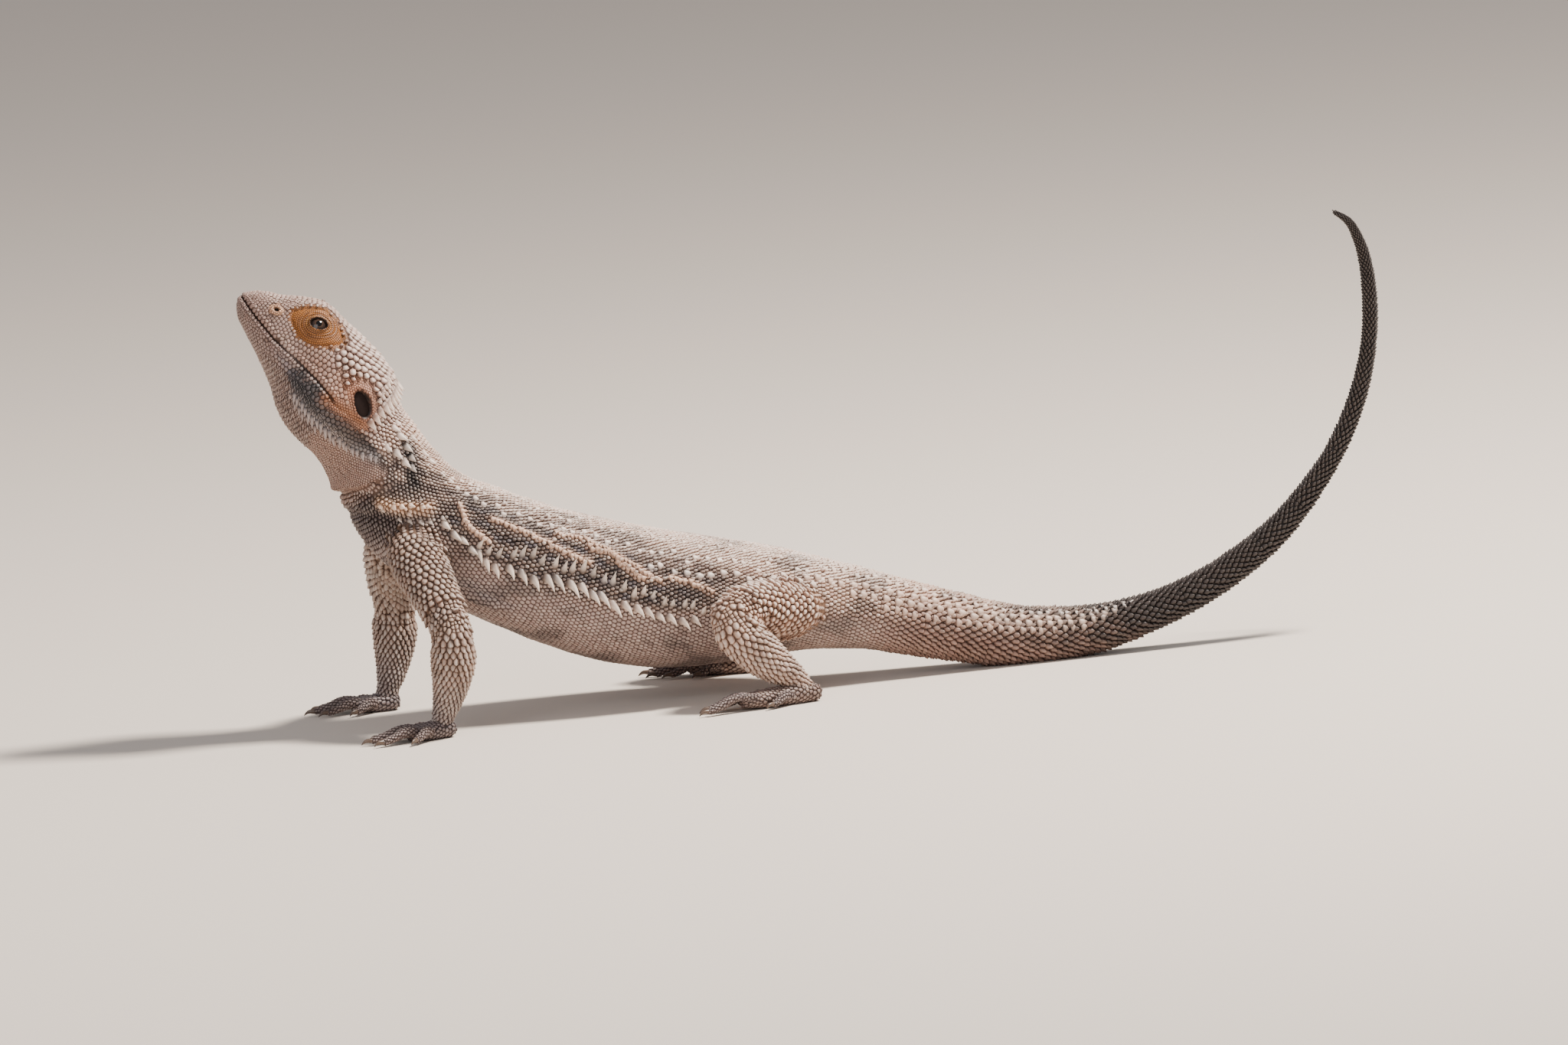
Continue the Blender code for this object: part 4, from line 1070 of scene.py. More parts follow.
    def tint(self, skin: bpy.types.Object) -> None:
        """Gives each vertex the colour of the nearest known place, darkened with painted shade as in the gaps
        between scales.
        """
        tree = tree_of(np.concatenate(self.known))
        near = [tree.find(place)[1] for place in corners(skin) / MM]
        paint(skin, np.concatenate(self.tints)[near] * self.shade)


# Coat


@dataclass
class Scales:
    """Scales as rows: where each sits, which way it lies, its shape and its colour."""

    place: Array
    out: Array
    back: Array
    width: Array
    tint: Array
    atlas: Array
    shape: Array

    def picked(self, which: Array) -> "Scales":
        """The scales of a mask or a row of numbers."""
        return Scales(*(getattr(self, name)[which] for name in self.__dataclass_fields__))

    @staticmethod
    def joined(groups: list["Scales"]) -> "Scales":
        """One set from several."""
        names = Scales.__dataclass_fields__
        return Scales(*(np.concatenate([getattr(group, name) for group in groups]) for name in names))


@dataclass
class Lattice:
    """Staggered rows of places round a tube, at a given distance apart."""

    outline: Callable[[Array, Array], Array]
    start: float
    end: float
    width: Callable[[float], float]
    density: Callable[[float, Array], Array] = lambda s, angles: np.ones(len(angles))
    row: float = 0.87
    jitter: float = 0.07

    def build(self, draw: np.random.Generator) -> tuple[Array, Array, Array]:
        """Places the rows.

        Args:
            draw: The seeded source of chance.

        Returns:
            Distance along the tube, angle and width of each place.
        """
        angles = np.linspace(-180, 180, 145)
        middles = (angles[1:] + angles[:-1]) / 2
        s, shifted, count, found = self.start, 0.0, 0, []
        while s < self.end:
            ring = self.outline(np.full(len(angles), s), angles)
            weighed = np.linalg.norm(np.diff(ring, axis=0), axis=1) * self.density(s, middles)
            total = np.concatenate([[0], np.cumsum(weighed)])
            ideal = total[-1] / self.width(s)
            if not count or not 0.87 < ideal / count < 1.15:
                count = max(5, round(ideal))
            shares = (np.arange(count) + shifted + draw.normal(0, self.jitter, count)) / count
            degrees = np.interp(shares % 1, total / total[-1], angles)
            pitch = total[-1] / count
            close = np.interp(degrees, middles, self.density(s, middles))
            found.append((s + draw.normal(0, self.jitter * pitch, count), degrees, pitch / close))
            shifted = 0.5 - shifted
            s += self.row * pitch
        return tuple(np.concatenate(rows) for rows in zip(*found))


class Area(Enum):
    """Areas of the trunk that have rows of scales of their own."""

    PLAIN = 0
    LIDS = 1
    LIPS = 2
    EAR = 3
    BEARD = 4
    THROAT = 5
    CHEEK = 6
    BARE = 7


# Spots of this size are taken in an order that their places stir up, the same in each run
SPOT, STIR = 0.02, (12.9898, 78.233, 37.719)
# Widths of scales at distances along the trunk
TRUNK_WIDTHS = ((-1, 0.75), (4, 0.95), (10, 1.15), (18, 1.5), (26, 2.0), (34, 2.1), (44, 2.0), (50, 1.7))
TRUNK_WIDTHS += ((56, 1.2), (64, 1.05), (74, 1.1), (90, 1.3), (150, 1.35), (215, 1.5), (235, 1.8))
TRUNK_WIDTHS += ((250, 2.05), (290, 1.95), (350, 1.6), (400, 1.2), (453, 0.6))
# Widths, slimming towards the end and width at the root of the limbs' scales
LIMB_WIDTHS = {
    "digit": (1.0, 1.0, 1.0),
    "hand": (1.2, 1.0, 1.0),
    "foot": (1.25, 1.0, 1.0),
    "forearm": (2.0, 0.62, 1.0),
    "upper": (2.1, 1.0, 0.6),
    "shank": (2.1, 0.7, 1.0),
    "thigh": (2.2, 1.0, 0.75),
}
# Areas with rows of their own: where they start and end, widths at distances, distance between rows
FIELDS = (
    (Area.CHEEK, 4.0, 61.0, ((4, 0.85), (12, 1.0), (24, 1.25), (34, 1.45), (50, 1.3), (61, 1.1)), 0.87),
    (Area.EAR, 7.0, 56.0, ((7, 0.66), (20, 0.8)), 0.87),
    (Area.BEARD, 17.0, 61.0, ((17, 0.85), (61, 0.95)), 1.5),
    (Area.THROAT, 42.0, 66.0, ((42, 0.84), (66, 0.84)), 0.87),
)
# Kinds of scales, in shares of their width: height, lift of the rear, overlap, keel, how far the peak moves
# back, slimness, how pale the crest is (partly its own pale tip, partly painted highlight), how flat the top
# is
KINDS = {
    "crown": (0.24, 0.06, 0.02, 0.1, 0.1, 1.0, 0.35, 0.7),
    "snout": (0.22, 0.08, 0.03, 0.1, 0.2, 1.0, 0.3, 0.8),
    "temple": (0.34, 0.16, 0.08, 0.35, 0.4, 1.0, 0.7, 0.6),
    "cheek": (0.17, 0.06, 0.05, 0.05, 0.2, 1.0, 0.16, 0.9),
    "lids": (0.13, 0.03, 0.0, 0.02, 0.0, 1.0, 0.0, 0.6),
    "lips": (0.17, 0.04, 0.0, 0.05, 0.1, 1.0, 0.16, 0.9),
    "ear": (0.14, 0.04, 0.0, 0.03, 0.1, 1.0, 0.08, 0.7),
    "beard": (0.26, 0.1, 1.3, 0.35, 0.9, 0.72, 0.4, 0.1),
    "throat": (0.18, 0.08, 0.12, 0.1, 0.3, 1.0, 0.2, 0.6),
    "neck": (0.4, 0.3, 0.22, 0.4, 0.6, 0.95, 0.5, 0.2),
    "belly": (0.15, 0.1, 0.14, 0.15, 0.3, 1.0, 0.4, 0.7),
    "flank": (0.4, 0.22, 0.15, 0.3, 0.5, 0.95, 0.3, 0.2),
    "back": (0.27, 0.24, 0.3, 0.5, 0.7, 0.97, 0.85, 0.4),
    "tail": (0.26, 0.3, 0.42, 0.6, 0.75, 0.98, 0.14, 0.5),
    "limb": (0.2, 0.2, 0.42, 0.75, 0.7, 0.97, 0.6, 0.8),
    "hand": (0.2, 0.16, 0.3, 0.3, 0.4, 1.0, 0.25, 0.6),
}


def turned(back: Array, out: Array, degrees: Array, drop: float) -> Array:
    """Rearward ways turned downwards on the surface, on both sides of the body."""
    rise = unit(np.cross(back, out)) * np.sign(degrees)[:, None]
    return back * math.cos(math.radians(drop)) - rise * math.sin(math.radians(drop))


def unwrap(piece: bpy.types.Object, master: Master, atlas: Array, out: tuple) -> None:
    """Gives each copy a small patch at its root's place on the unwrapped skin.

    Args:
        piece: The joined copies.
        master: The form of each.
        atlas: The place of each on the unwrap.
        out: How far each ring lies from the patch's middle.
    """
    turn = np.stack((np.cos(master.turn), np.sin(master.turn)), 1)
    offset = 0.003 * np.array(out)[master.ring][:, None] * turn
    at = (np.clip(atlas, 0.004, 0.996)[:, None] + offset[None]).reshape(-1, 2)
    layer = piece.data.uv_layers.new(name="OFBake")
    layer.data.foreach_set("uv", at[faces_of(piece)[0]].astype(np.float32).ravel())


def on_unwrap(s: Array, degrees: Array) -> Array:
    """Where places of the trunk lie on the unwrapped skin."""
    share = degrees / 360 * np.interp(s, (0, 60, 226, 453), (0.62, 0.8, 1.0, 1.0))
    first = s < 226
    across = np.where(first, 0.01 + 0.98 * (s + 2) / 228, 0.01 + 0.98 * (s - 226) / 228)
    return np.stack((across, np.where(first, 0.525 + 0.44 * share, 0.875 + 0.23 * share)), 1)


def luck(atlas: Array, number: int) -> Array:
    """A value from 0 to 1 for each place on the unwrap, which hangs on nothing but that place.

    Args:
        atlas: The places.
        number: Which of the values of a place.

    Returns:
        The values.
    """
    return np.sin(np.round(atlas * 1e6) @ np.array((12.9898, 78.233)) + number) * 43758.5453 % 1


def swings(atlas: Array, number: int, columns: int = 1) -> Array:
    """Values round 0 with a spread of 1, for each place on the unwrap.

    Args:
        atlas: The places.
        number: Which of the values of a place.
        columns: How many for each place.

    Returns:
        Rows of values.
    """
    rows = [sum(luck(atlas, number + 3 * column + part) for part in range(3)) for column in range(columns)]
    return 2 * np.stack(rows, 1) - 3


class Coat:
    """The scales, each fitted to its neighbours and lying on the skin."""

    most = 4100
    near = 12
    rise = np.array(((-0.3, -0.2, 0.36, 0.86, 1.0), (-0.3, -0.2, 0.62, 0.95, 1.0)))
    reach = np.array(((0.0, 0.97, 0.88, 0.56, 0.0), (0.0, 0.985, 0.95, 0.72, 0.0)))
    # painted shade and painted highlight: colour of each ring of a scale, dark below and down the sides,
    # brighter than its own colour on top
    shade = (0.14, 0.17, 0.5, 0.98, 1.14)

    def __init__(self, body: Body, limbs: list[Limb], markings: Markings, skin: bpy.types.Object) -> None:
        """Keeps what the coat lies on."""
        self.body, self.limbs, self.markings = body, limbs, markings
        self.draw = np.random.default_rng(SEED)
        self.skin_points = corners(skin) / MM
        loops, totals = faces_of(skin)
        starts = np.concatenate([[0], np.cumsum(totals)])
        faces = [loops[a:b].tolist() for a, b in zip(starts, starts[1:])]
        self.tree = BVHTree.FromPolygons(self.skin_points.tolist(), faces)
        self.master = Master(8, 4)

    def on_skin(self, place: Array, out: Array, most: float) -> tuple[Array, Array]:
        """Moves places to the skin.

        Args:
            place: Places.
            out: The ways out of the surface there.
            most: The greatest distance to the skin for a place to be kept.

        Returns:
            The places on the skin, and which of them are kept.
        """
        kept = np.zeros(len(place), bool)
        moved = place.copy()
        for i, at in enumerate(place):
            found, normal, _, away = self.tree.find_nearest(at)
            if away < most and normal.dot(Vector(out[i])) > 0.2:
                kept[i], moved[i] = True, found
        return moved, kept

    # Fields

    def trunk_width(self, s: float) -> float:
        """Width of scales along the trunk."""
        return float(on_line(TRUNK_WIDTHS, s))

    def trunk_density(self, s: float, angles: Array) -> Array:
        """How much closer scales stand round the trunk."""
        angle = np.abs(angles)
        torso = float(step_up(80, 95, s) * step_up(235, 215, s))
        return 1 + torso * 0.12 * step_up(36, 56, angle)

    def trunk_shape(self, s: Array, degrees: Array, width: Array, area: Area) -> Array:
        """Shapes of the trunk's scales."""
        atlas, angle = on_unwrap(s, degrees), np.abs(degrees)
        kinds = {name: np.array(row) for name, row in KINDS.items()}
        made = np.tile(kinds.get(area.name.lower(), kinds["crown"]), (len(s), 1))
        if area is Area.PLAIN:
            for name, amount in (
                ("snout", step_up(22, 14, s) * step_up(20, 40, angle)),
                ("temple", step_up(22, 32, s) * step_up(78, 60, angle)),
                ("neck", step_up(52, 58, s)),
                ("flank", step_up(78, 90, s)),
                ("belly", step_up(80, 88, s) * step_up(92, 102, angle)),
                ("back", step_up(78, 90, s) * step_up(56, 44, angle)),
                ("tail", step_up(216, 236, s)),
            ):
                made += (kinds[name] - made) * np.clip(amount, 0, 1)[:, None]
            rough = step_up(56, 64, s) * step_up(240, 210, s) * step_up(98, 86, angle)
            stud = (luck(atlas, 1) > 0.86) & (rough > 0.5) & (angle > 30)
            made[stud, 0] *= 1.9
            made[stud, 6] = 1.0
        made[:, 6] *= 0.5 + 0.9 * luck(atlas, 2)
        made[:, :2] *= width[:, None]
        made[:, 3] *= width
        return made

    def areas(self, s: Array, degrees: Array, plain: Array, height: Array) -> Array:
        """The number of the area in which each place of the trunk lies."""
        angle, over = np.abs(degrees), height - self.body.mouth(s)
        found = np.zeros(len(s), int)
        past = s - on_line(THROAT, angle)
        edge = np.interp(s, (4, 12, 20, 30, 38, 44), (30, 40, 50, 62, 68, 72))
        found[(s > 4) & (s < 61) & (angle > edge + 8 * step_up(44, 48, s))] = Area.CHEEK.value
        found[(past > 0) & (s < 66) & (angle > 90)] = Area.THROAT.value
        edge = np.interp(s, (17, 24, 32, 45, 61), (125, 108, 97, 94, 92))
        found[(s > 17) & (s < 61) & (angle > edge) & (past <= 0)] = Area.BEARD.value
        found[(s < MOUTH_ENDS) & (np.abs(over) < 2.25)] = Area.LIPS.value
        found[(s < 50) & (near_line(s, angle, MOUTH_FOLD[0], 0.33) < 2.0) & (s > MOUTH_ENDS)] = Area.EAR.value
        head = s < 62
        for face in self.body.faces.values():
            fine = (face.ear.radius(plain) < 1.75) | (face.nostril.radius(plain) < 3.6)
            found[head & fine] = Area.EAR.value
            found[head & (face.lids.radius(plain) < 1.0)] = Area.LIDS.value
            gone = (face.eye.radius(plain) < 1.16) | (face.ear.radius(plain) < 1.12)
            gone |= face.nostril.radius(plain) < 1.7
            found[head & gone] = Area.BARE.value
        found[(s < MOUTH_ENDS) & (np.abs(over) < 0.36)] = Area.BARE.value
        return found

    def trunk_field(self, lattice: Lattice, area: Area) -> Scales:
        """Scales of one area of the trunk."""
        return self.laid(*lattice.build(self.draw), area)

    def lip_field(self) -> Scales:
        """Rows of scales along both lips."""
        along = np.arange(0.6, MOUTH_ENDS, 1.3)
        rows = []
        for k, over in enumerate((-1.8, -0.85, 0.85, 1.8)):
            s = along + 0.65 * (k in (0, 3)) + self.draw.normal(0, 0.07, len(along))
            angle = self.body.angle_at(s, self.body.mouth(s) + over)
            rows += [(s, angle * side.value, np.full(len(s), 1.12)) for side in Side]
        return self.laid(*(np.concatenate(part) for part in zip(*rows)), Area.LIPS)

    def lid_field(self) -> Scales:
        """Rings of small scales round the eyes."""
        rows = []
        around = np.linspace(0, 2 * math.pi, 200)
        for side, face in self.body.faces.items():
            for k in range(12):
                a, b = (half + 0.62 + 0.56 * k for half in face.eye.half)
                ring = np.stack((a * np.cos(around), b * np.sin(around)), 1)
                steps = np.concatenate([[0], np.cumsum(np.linalg.norm(np.diff(ring, axis=0), axis=1))])
                count = round(steps[-1] / 0.62)
                at = np.arange(count) + 0.5 * (k % 2) + self.draw.normal(0, 0.06, count)
                at = at % count / count * steps[-1]
                x, y = (np.interp(at, steps, ring[:, j])[:, None] for j in (0, 1))
                target = face.eye.middle + face.eye.long * x + face.eye.short * y
                place = target.copy()
                for _ in range(5):
                    s, degrees, _ = self.body.locate(place)
                    off = target - self.body.plain(s, degrees)[0]
                    place += off - face.eye.out * (off @ face.eye.out)[:, None]
                rows.append((s, np.abs(degrees) * side.value, np.full(count, 0.62)))
        return self.laid(*(np.concatenate(part) for part in zip(*rows)), Area.LIDS)

    def laid(self, s: Array, degrees: Array, width: Array, area: Area) -> Scales:
        """Lays scales on the skin.

        Args:
            s: Distances along the body.
            degrees: Angles from the back's middle.
            width: Widths.
            area: The area in which they are kept.

        Returns:
            The scales.
        """
        kept = (s > self.body.knots[0] + 0.2) & (s < self.body.knots[-1] - 0.15)
        kept &= self.areas(s, degrees, *self.body.plain(s, degrees)) == area.value
        s, degrees, width = only(kept, s, degrees, width)
        place, out = self.body.points(s, degrees), self.body.normals(s, degrees)
        place, kept = self.on_skin(place, out, 0.35)
        s, degrees, width, place, out = only(kept, s, degrees, width, place, out)
        back = level_with(out, self.body.frames(s)[3])
        if area is Area.BEARD:
            back = turned(back, out, degrees, 42.0)
        tint = self.markings.trunk(s, degrees, place)
        return Scales(
            place, out, back, width, tint, on_unwrap(s, degrees), self.trunk_shape(s, degrees, width, area)
        )

    def limb_field(self, limb: Limb, number: int) -> Scales:
        """Scales of one limb piece or digit."""
        small = "digit" in limb.name
        word = limb.name.split("_")[0]
        base, taper, root = LIMB_WIDTHS[word]

        def width(s: float) -> float:
            share = min(1, max(0, s / limb.length))
            return base * (1 + (taper - 1) * share) * (root + (1 - root) * min(1, share * 2.5))

        lattice = Lattice(limb.points, limb.start + 0.25, limb.end - 0.15, width, jitter=0.06)
        s, degrees, wide = lattice.build(self.draw)
        place, out = limb.points(s, degrees), limb.normals(s, degrees)
        s, degrees, wide, place, out = only(place[:, 2] > -0.3, s, degrees, wide, place, out)
        place, kept = self.on_skin(place, out, 0.3)
        s, degrees, wide, place, out = only(kept, s, degrees, wide, place, out)
        back = level_with(out, limb.frames(s)[3])
        kind = np.array(KINDS["hand" if word in ("digit", "hand", "foot") else "limb"])
        shape = np.tile(kind, (len(s), 1))
        if "thigh" in limb.name:
            above = step_up(-0.2, 0.6, out @ np.array((0.3, 0.42 * limb.sign, 0.85)))
            shape[:, :2] *= 1 + 0.5 * above[:, None]
            # partly painted highlight: crests paler on the thigh's upward side, which faces the light,
            # besides its own larger pale scales
            shape[:, 6] += 0.8 * above
        under = step_up(0.2, -0.6, out[:, 2])
        shape[:, 0] *= 1 - 0.4 * under
        shape[:, :2] *= wide[:, None]
        shape[:, 3] *= wide
        share = np.clip(s / limb.length, -0.1, 1.1)
        if small:
            across = 0.012 + 0.0485 * (number % 20 + 0.1 + 0.75 * share)
            up = 0.004 + 0.04 * (degrees / 360 + 0.5)
        else:
            across = 0.012 + 0.163 * (number % 6 + 0.1 + 0.8 * share)
            up = 0.055 + 0.122 * (number // 6 + degrees / 370 + 0.5)
        atlas = np.stack((across, up), 1)
        shape[:, 6] *= 0.5 + 0.9 * luck(atlas, 2)
        tint = self.markings.limbs(limb.name, share, place)
        return Scales(place, out, back, wide, tint, atlas, shape)

    # Fit

    def thinned(self, scales: Scales) -> Scales:
        """Leaves out scales that stand too close to one that is kept already."""
        tree = tree_of(scales.place)
        kept = np.ones(len(scales.place), bool)
        for i, place in enumerate(scales.place):
            if not kept[i]:
                continue
            for _, j, _ in tree.find_range(place, 0.52 * scales.width[i]):
                if j != i:
                    kept[j] = False
        return scales.picked(kept)

    def filled(self, scales: Scales) -> Scales:
        """Adds small scales where bare skin is left, such as where limbs meet the body."""
        bare = self.bare()
        chance = np.sin(np.round(self.skin_points / SPOT) @ np.array(STIR)) * 43758.5453 % 1
        order = np.argsort(chance, kind="stable")
        around = list(itertools.product((-1, 0, 1), repeat=3))
        for _ in range(3):
            tree = tree_of(scales.place)
            chosen: list[tuple[Array, int]] = []
            taken: dict[tuple[int, ...], list[Array]] = {}
            for i in order:
                at = self.skin_points[i]
                if at[2] < 0.3 or bare[i]:
                    continue
                _, j, away = tree.find(at)
                if not 0.68 * scales.width[j] < away < 9:
                    continue
                cell = tuple(np.floor(at / 1.5).astype(int))
                others = [other for by in around for other in taken.get(tuple(np.add(cell, by)), ())]
                if all(np.linalg.norm(at - other) >= 0.7 * scales.width[j] for other in others):
                    taken.setdefault(cell, []).append(at)
                    chosen.append((at, j))
            if not chosen:
                break
            made = scales.picked(np.array([j for _, j in chosen]))
            made.place = np.array([at for at, _ in chosen])
            normals = [self.tree.find_nearest(place)[1] for place in made.place]
            made.out = unit(np.array([tuple(n) for n in normals]))
            made.back = level_with(made.out, made.back)
            made.width = made.width * 0.8
            made.shape = made.shape * np.array((0.7, 0.7, 0.6, 0.7, 0.8, 1.0, 0.8, 1.0))
            scales = Scales.joined([scales, made])
            LOG.info("filled %d gaps", len(chosen))
        return scales

    def bare(self) -> Array:
        """Which places of the skin are left without scales."""
        points = self.skin_points
        s, _, height = self.body.locate(points)
        found = (np.abs(height - self.body.mouth(s)) < 0.5) & (s < MOUTH_ENDS) & (points[:, 0] < -125)
        for face in self.body.faces.values():
            found |= (face.eye.radius(points) < 1.22) | (face.ear.radius(points) < 1.2)
            found |= face.nostril.radius(points) < 1.9
        return found

    def fitted(self, scales: Scales) -> Array:
        """How far each scale may reach in each of eight directions before it meets its neighbours."""
        tree = tree_of(scales.place)
        near = np.array([[j for _, j, _ in tree.find_n(place, self.near + 1)][1:] for place in scales.place])
        away = scales.place[near] - scales.place[:, None]
        aside = np.cross(scales.out, scales.back)
        x = np.sum(away * scales.back[:, None], 2)
        y = np.sum(away * aside[:, None], 2)
        share = scales.width[:, None] / (scales.width[:, None] + scales.width[near])
        turns = np.arange(8) * math.pi / 4
        ahead = x[..., None] * np.cos(turns) + y[..., None] * np.sin(turns)
        limit = (x**2 + y**2)[..., None] * share[..., None] / np.maximum(ahead, 1e-6)
        limit = np.where(ahead > 0.05, limit, 99.0).min(axis=1)
        return np.clip(limit, 0.26 * scales.width[:, None], 0.66 * scales.width[:, None])

    def body_of(self, scales: Scales, reach: Array) -> tuple[Array, Array]:
        """Vertices and colours of all scales, with painted shade down their sides and a painted highlight on
        their tops.

        Args:
            scales: The scales.
            reach: Their reach in eight directions.

        Returns:
            Vertices as (scale, vertex, 3), and colours alike.
        """
        ring, turn = self.master.ring, self.master.turn
        step = np.rint(turn / (math.pi / 4)).astype(int) % 8
        c, w = np.cos(step * math.pi / 4), np.sin(step * math.pi / 4)
        tall, lift, over, keel, shift, slim, crest, flat = (scales.shape[:, k, None] for k in range(8))
        out_by = reach[:, step] * (self.reach[0] + flat * (self.reach[1] - self.reach[0]))[:, ring]
        risen = (self.rise[0] + flat * (self.rise[1] - self.rise[0]))[:, ring]
        x = out_by * c * (1 + over * np.clip(c, 0, 1) ** 3)
        y = out_by * w * slim
        rear = reach[:, :1] * (1 + over)
        x = x + shift * rear * np.array((0, 0, 0.0, 0.28, 0.72))[ring]
        level = np.where(ring > 1, tall * risen, scales.width[:, None] * risen)
        rise = np.where(ring > 1, lift * np.clip(x / rear, -0.2, 1.2), 0)
        ridge = keel * 0.3 * np.abs(c) * np.isin(ring, (2, 3)) * np.array((0, 0, 0.4, 1, 0))[ring]
        ridge = ridge + keel * 0.3 * (ring == 4)
        z = level + rise + ridge
        aside = np.cross(scales.out, scales.back)
        points = (
            scales.place[:, None]
            + scales.back[:, None] * x[..., None]
            + aside[:, None] * y[..., None]
            + scales.out[:, None] * z[..., None]
        )
        points[..., 2] = np.maximum(points[..., 2], 0.03)
        # painted shade: lower rings darker and browner, and the shoulder darker at its sides; the top ring is
        # a painted highlight
        shade = np.array(self.shade)[ring] * (1 - 0.12 * np.abs(w) * (ring == 3))
        rim = np.clip(1 - shade, 0, 1)[:, None] * np.array((0.0, 0.2, 0.28))
        tint = scales.tint[:, None] * (shade[:, None] * (1 - rim))[None]
        # the crest turns pale, partly the scales' own pale tips and partly a painted highlight, strongest
        # towards the raised rear
        bright = np.clip(scales.tint.mean(1, keepdims=True) / 0.3, 0, 1) ** 0.8
        light = srgb(238, 222, 210) * (0.14 + 0.86 * bright)
        pale = crest * np.array((0, 0, 0.06, 0.6, 1.0))[ring] * (0.7 + 0.3 * np.clip(c, 0, 1))
        tint = tint + (light[:, None] - tint) * np.clip(pale, 0, 1)[..., None]
        return points, tint

    def build(self) -> list[bpy.types.Object]:
        """Makes the whole coat.

        Returns:
            Its pieces.
        """
        def outline(s: Array, angles: Array) -> Array:
            return self.body.plain(s, angles)[0]

        first, last = self.body.knots[[0, -1]]
        plain = Lattice(outline, first, last, self.trunk_width, self.trunk_density)
        groups = [self.trunk_field(plain, Area.PLAIN), self.lip_field(), self.lid_field()]
        for area, start, end, widths, row in FIELDS:
            rows = Lattice(outline, start, end, lambda s: float(on_line(widths, s)), row=row)
            groups.append(self.trunk_field(rows, area))
        large = [limb for limb in self.limbs if "digit" not in limb.name]
        digits = [limb for limb in self.limbs if "digit" in limb.name]
        groups += [self.limb_field(limb, i) for row in (large, digits) for i, limb in enumerate(row)]
        scales = Scales.joined(groups)
        scales = self.filled(self.thinned(scales))
        atlas = scales.atlas
        scales.tint = scales.tint * (1 + 0.07 * swings(atlas, 3)) * (1 + 0.012 * swings(atlas, 6, 3))
        scales.shape[:, :2] *= 1 + 0.12 * swings(atlas, 15)
        reach = self.fitted(scales)
        points, tint = self.body_of(scales, reach)
        LOG.info("scales: %d", len(points))
        return self.pieces(scales, points, tint)

    def pieces(self, scales: Scales, points: Array, tint: Array) -> list[bpy.types.Object]:
        """Parts the coat into pieces by where the scales are."""
        across, up = scales.atlas.T
        front = (up > 0.3) & (up < 0.75)
        made = []
        for word, which, slot in (
            ("head", front & (across < 0.245), "head skin"),
            ("body", front & (across >= 0.245), "back skin"),
            ("tail", up >= 0.75, "dark tail skin"),
            ("limbs", up <= 0.3, "limb skin"),
        ):
            rows = np.flatnonzero(which)
            rows = rows[np.argsort(scales.place[rows, 0], kind="stable")]
            parts = max(1, math.ceil(len(rows) / self.most))
            for k, part in enumerate(np.array_split(rows, parts)):
                name = f"scales_{word}" if parts == 1 else f"scales_{word}_{k + 1}"
                piece = self.master.copies(name, points[part])
                paint(piece, tint[part].reshape(-1, 3))
                unwrap(piece, self.master, scales.atlas[part], (0, 0.5, 0.42, 0.25, 0))
                finish(piece, SCALES)
                made.append(piece)
                LOG.info("%s: %d scales, %d triangles", name, len(part), len(part) * 48)
        return made


# Spines, claws, eyes and ears


@dataclass(frozen=True)
class SpineRow:
    """A row of spines along both sides of the body, with angles in degrees."""

    line: tuple
    count: int
    height: float
    radius: float
    lean: float  # rearward from upright
    drop: float = 0.0  # which way it leans: downwards from rearward
    hook: float = 0.0  # which way it bends
    bend: float = 0.3
    fade: float = 0.7  # height at the ends of the row, as a share of the middle
    scatter: float = 1.5
    white: float = 0.95
    tone: tuple = (232, 216, 204)
    blunt: float = 0.0  # how round its top is


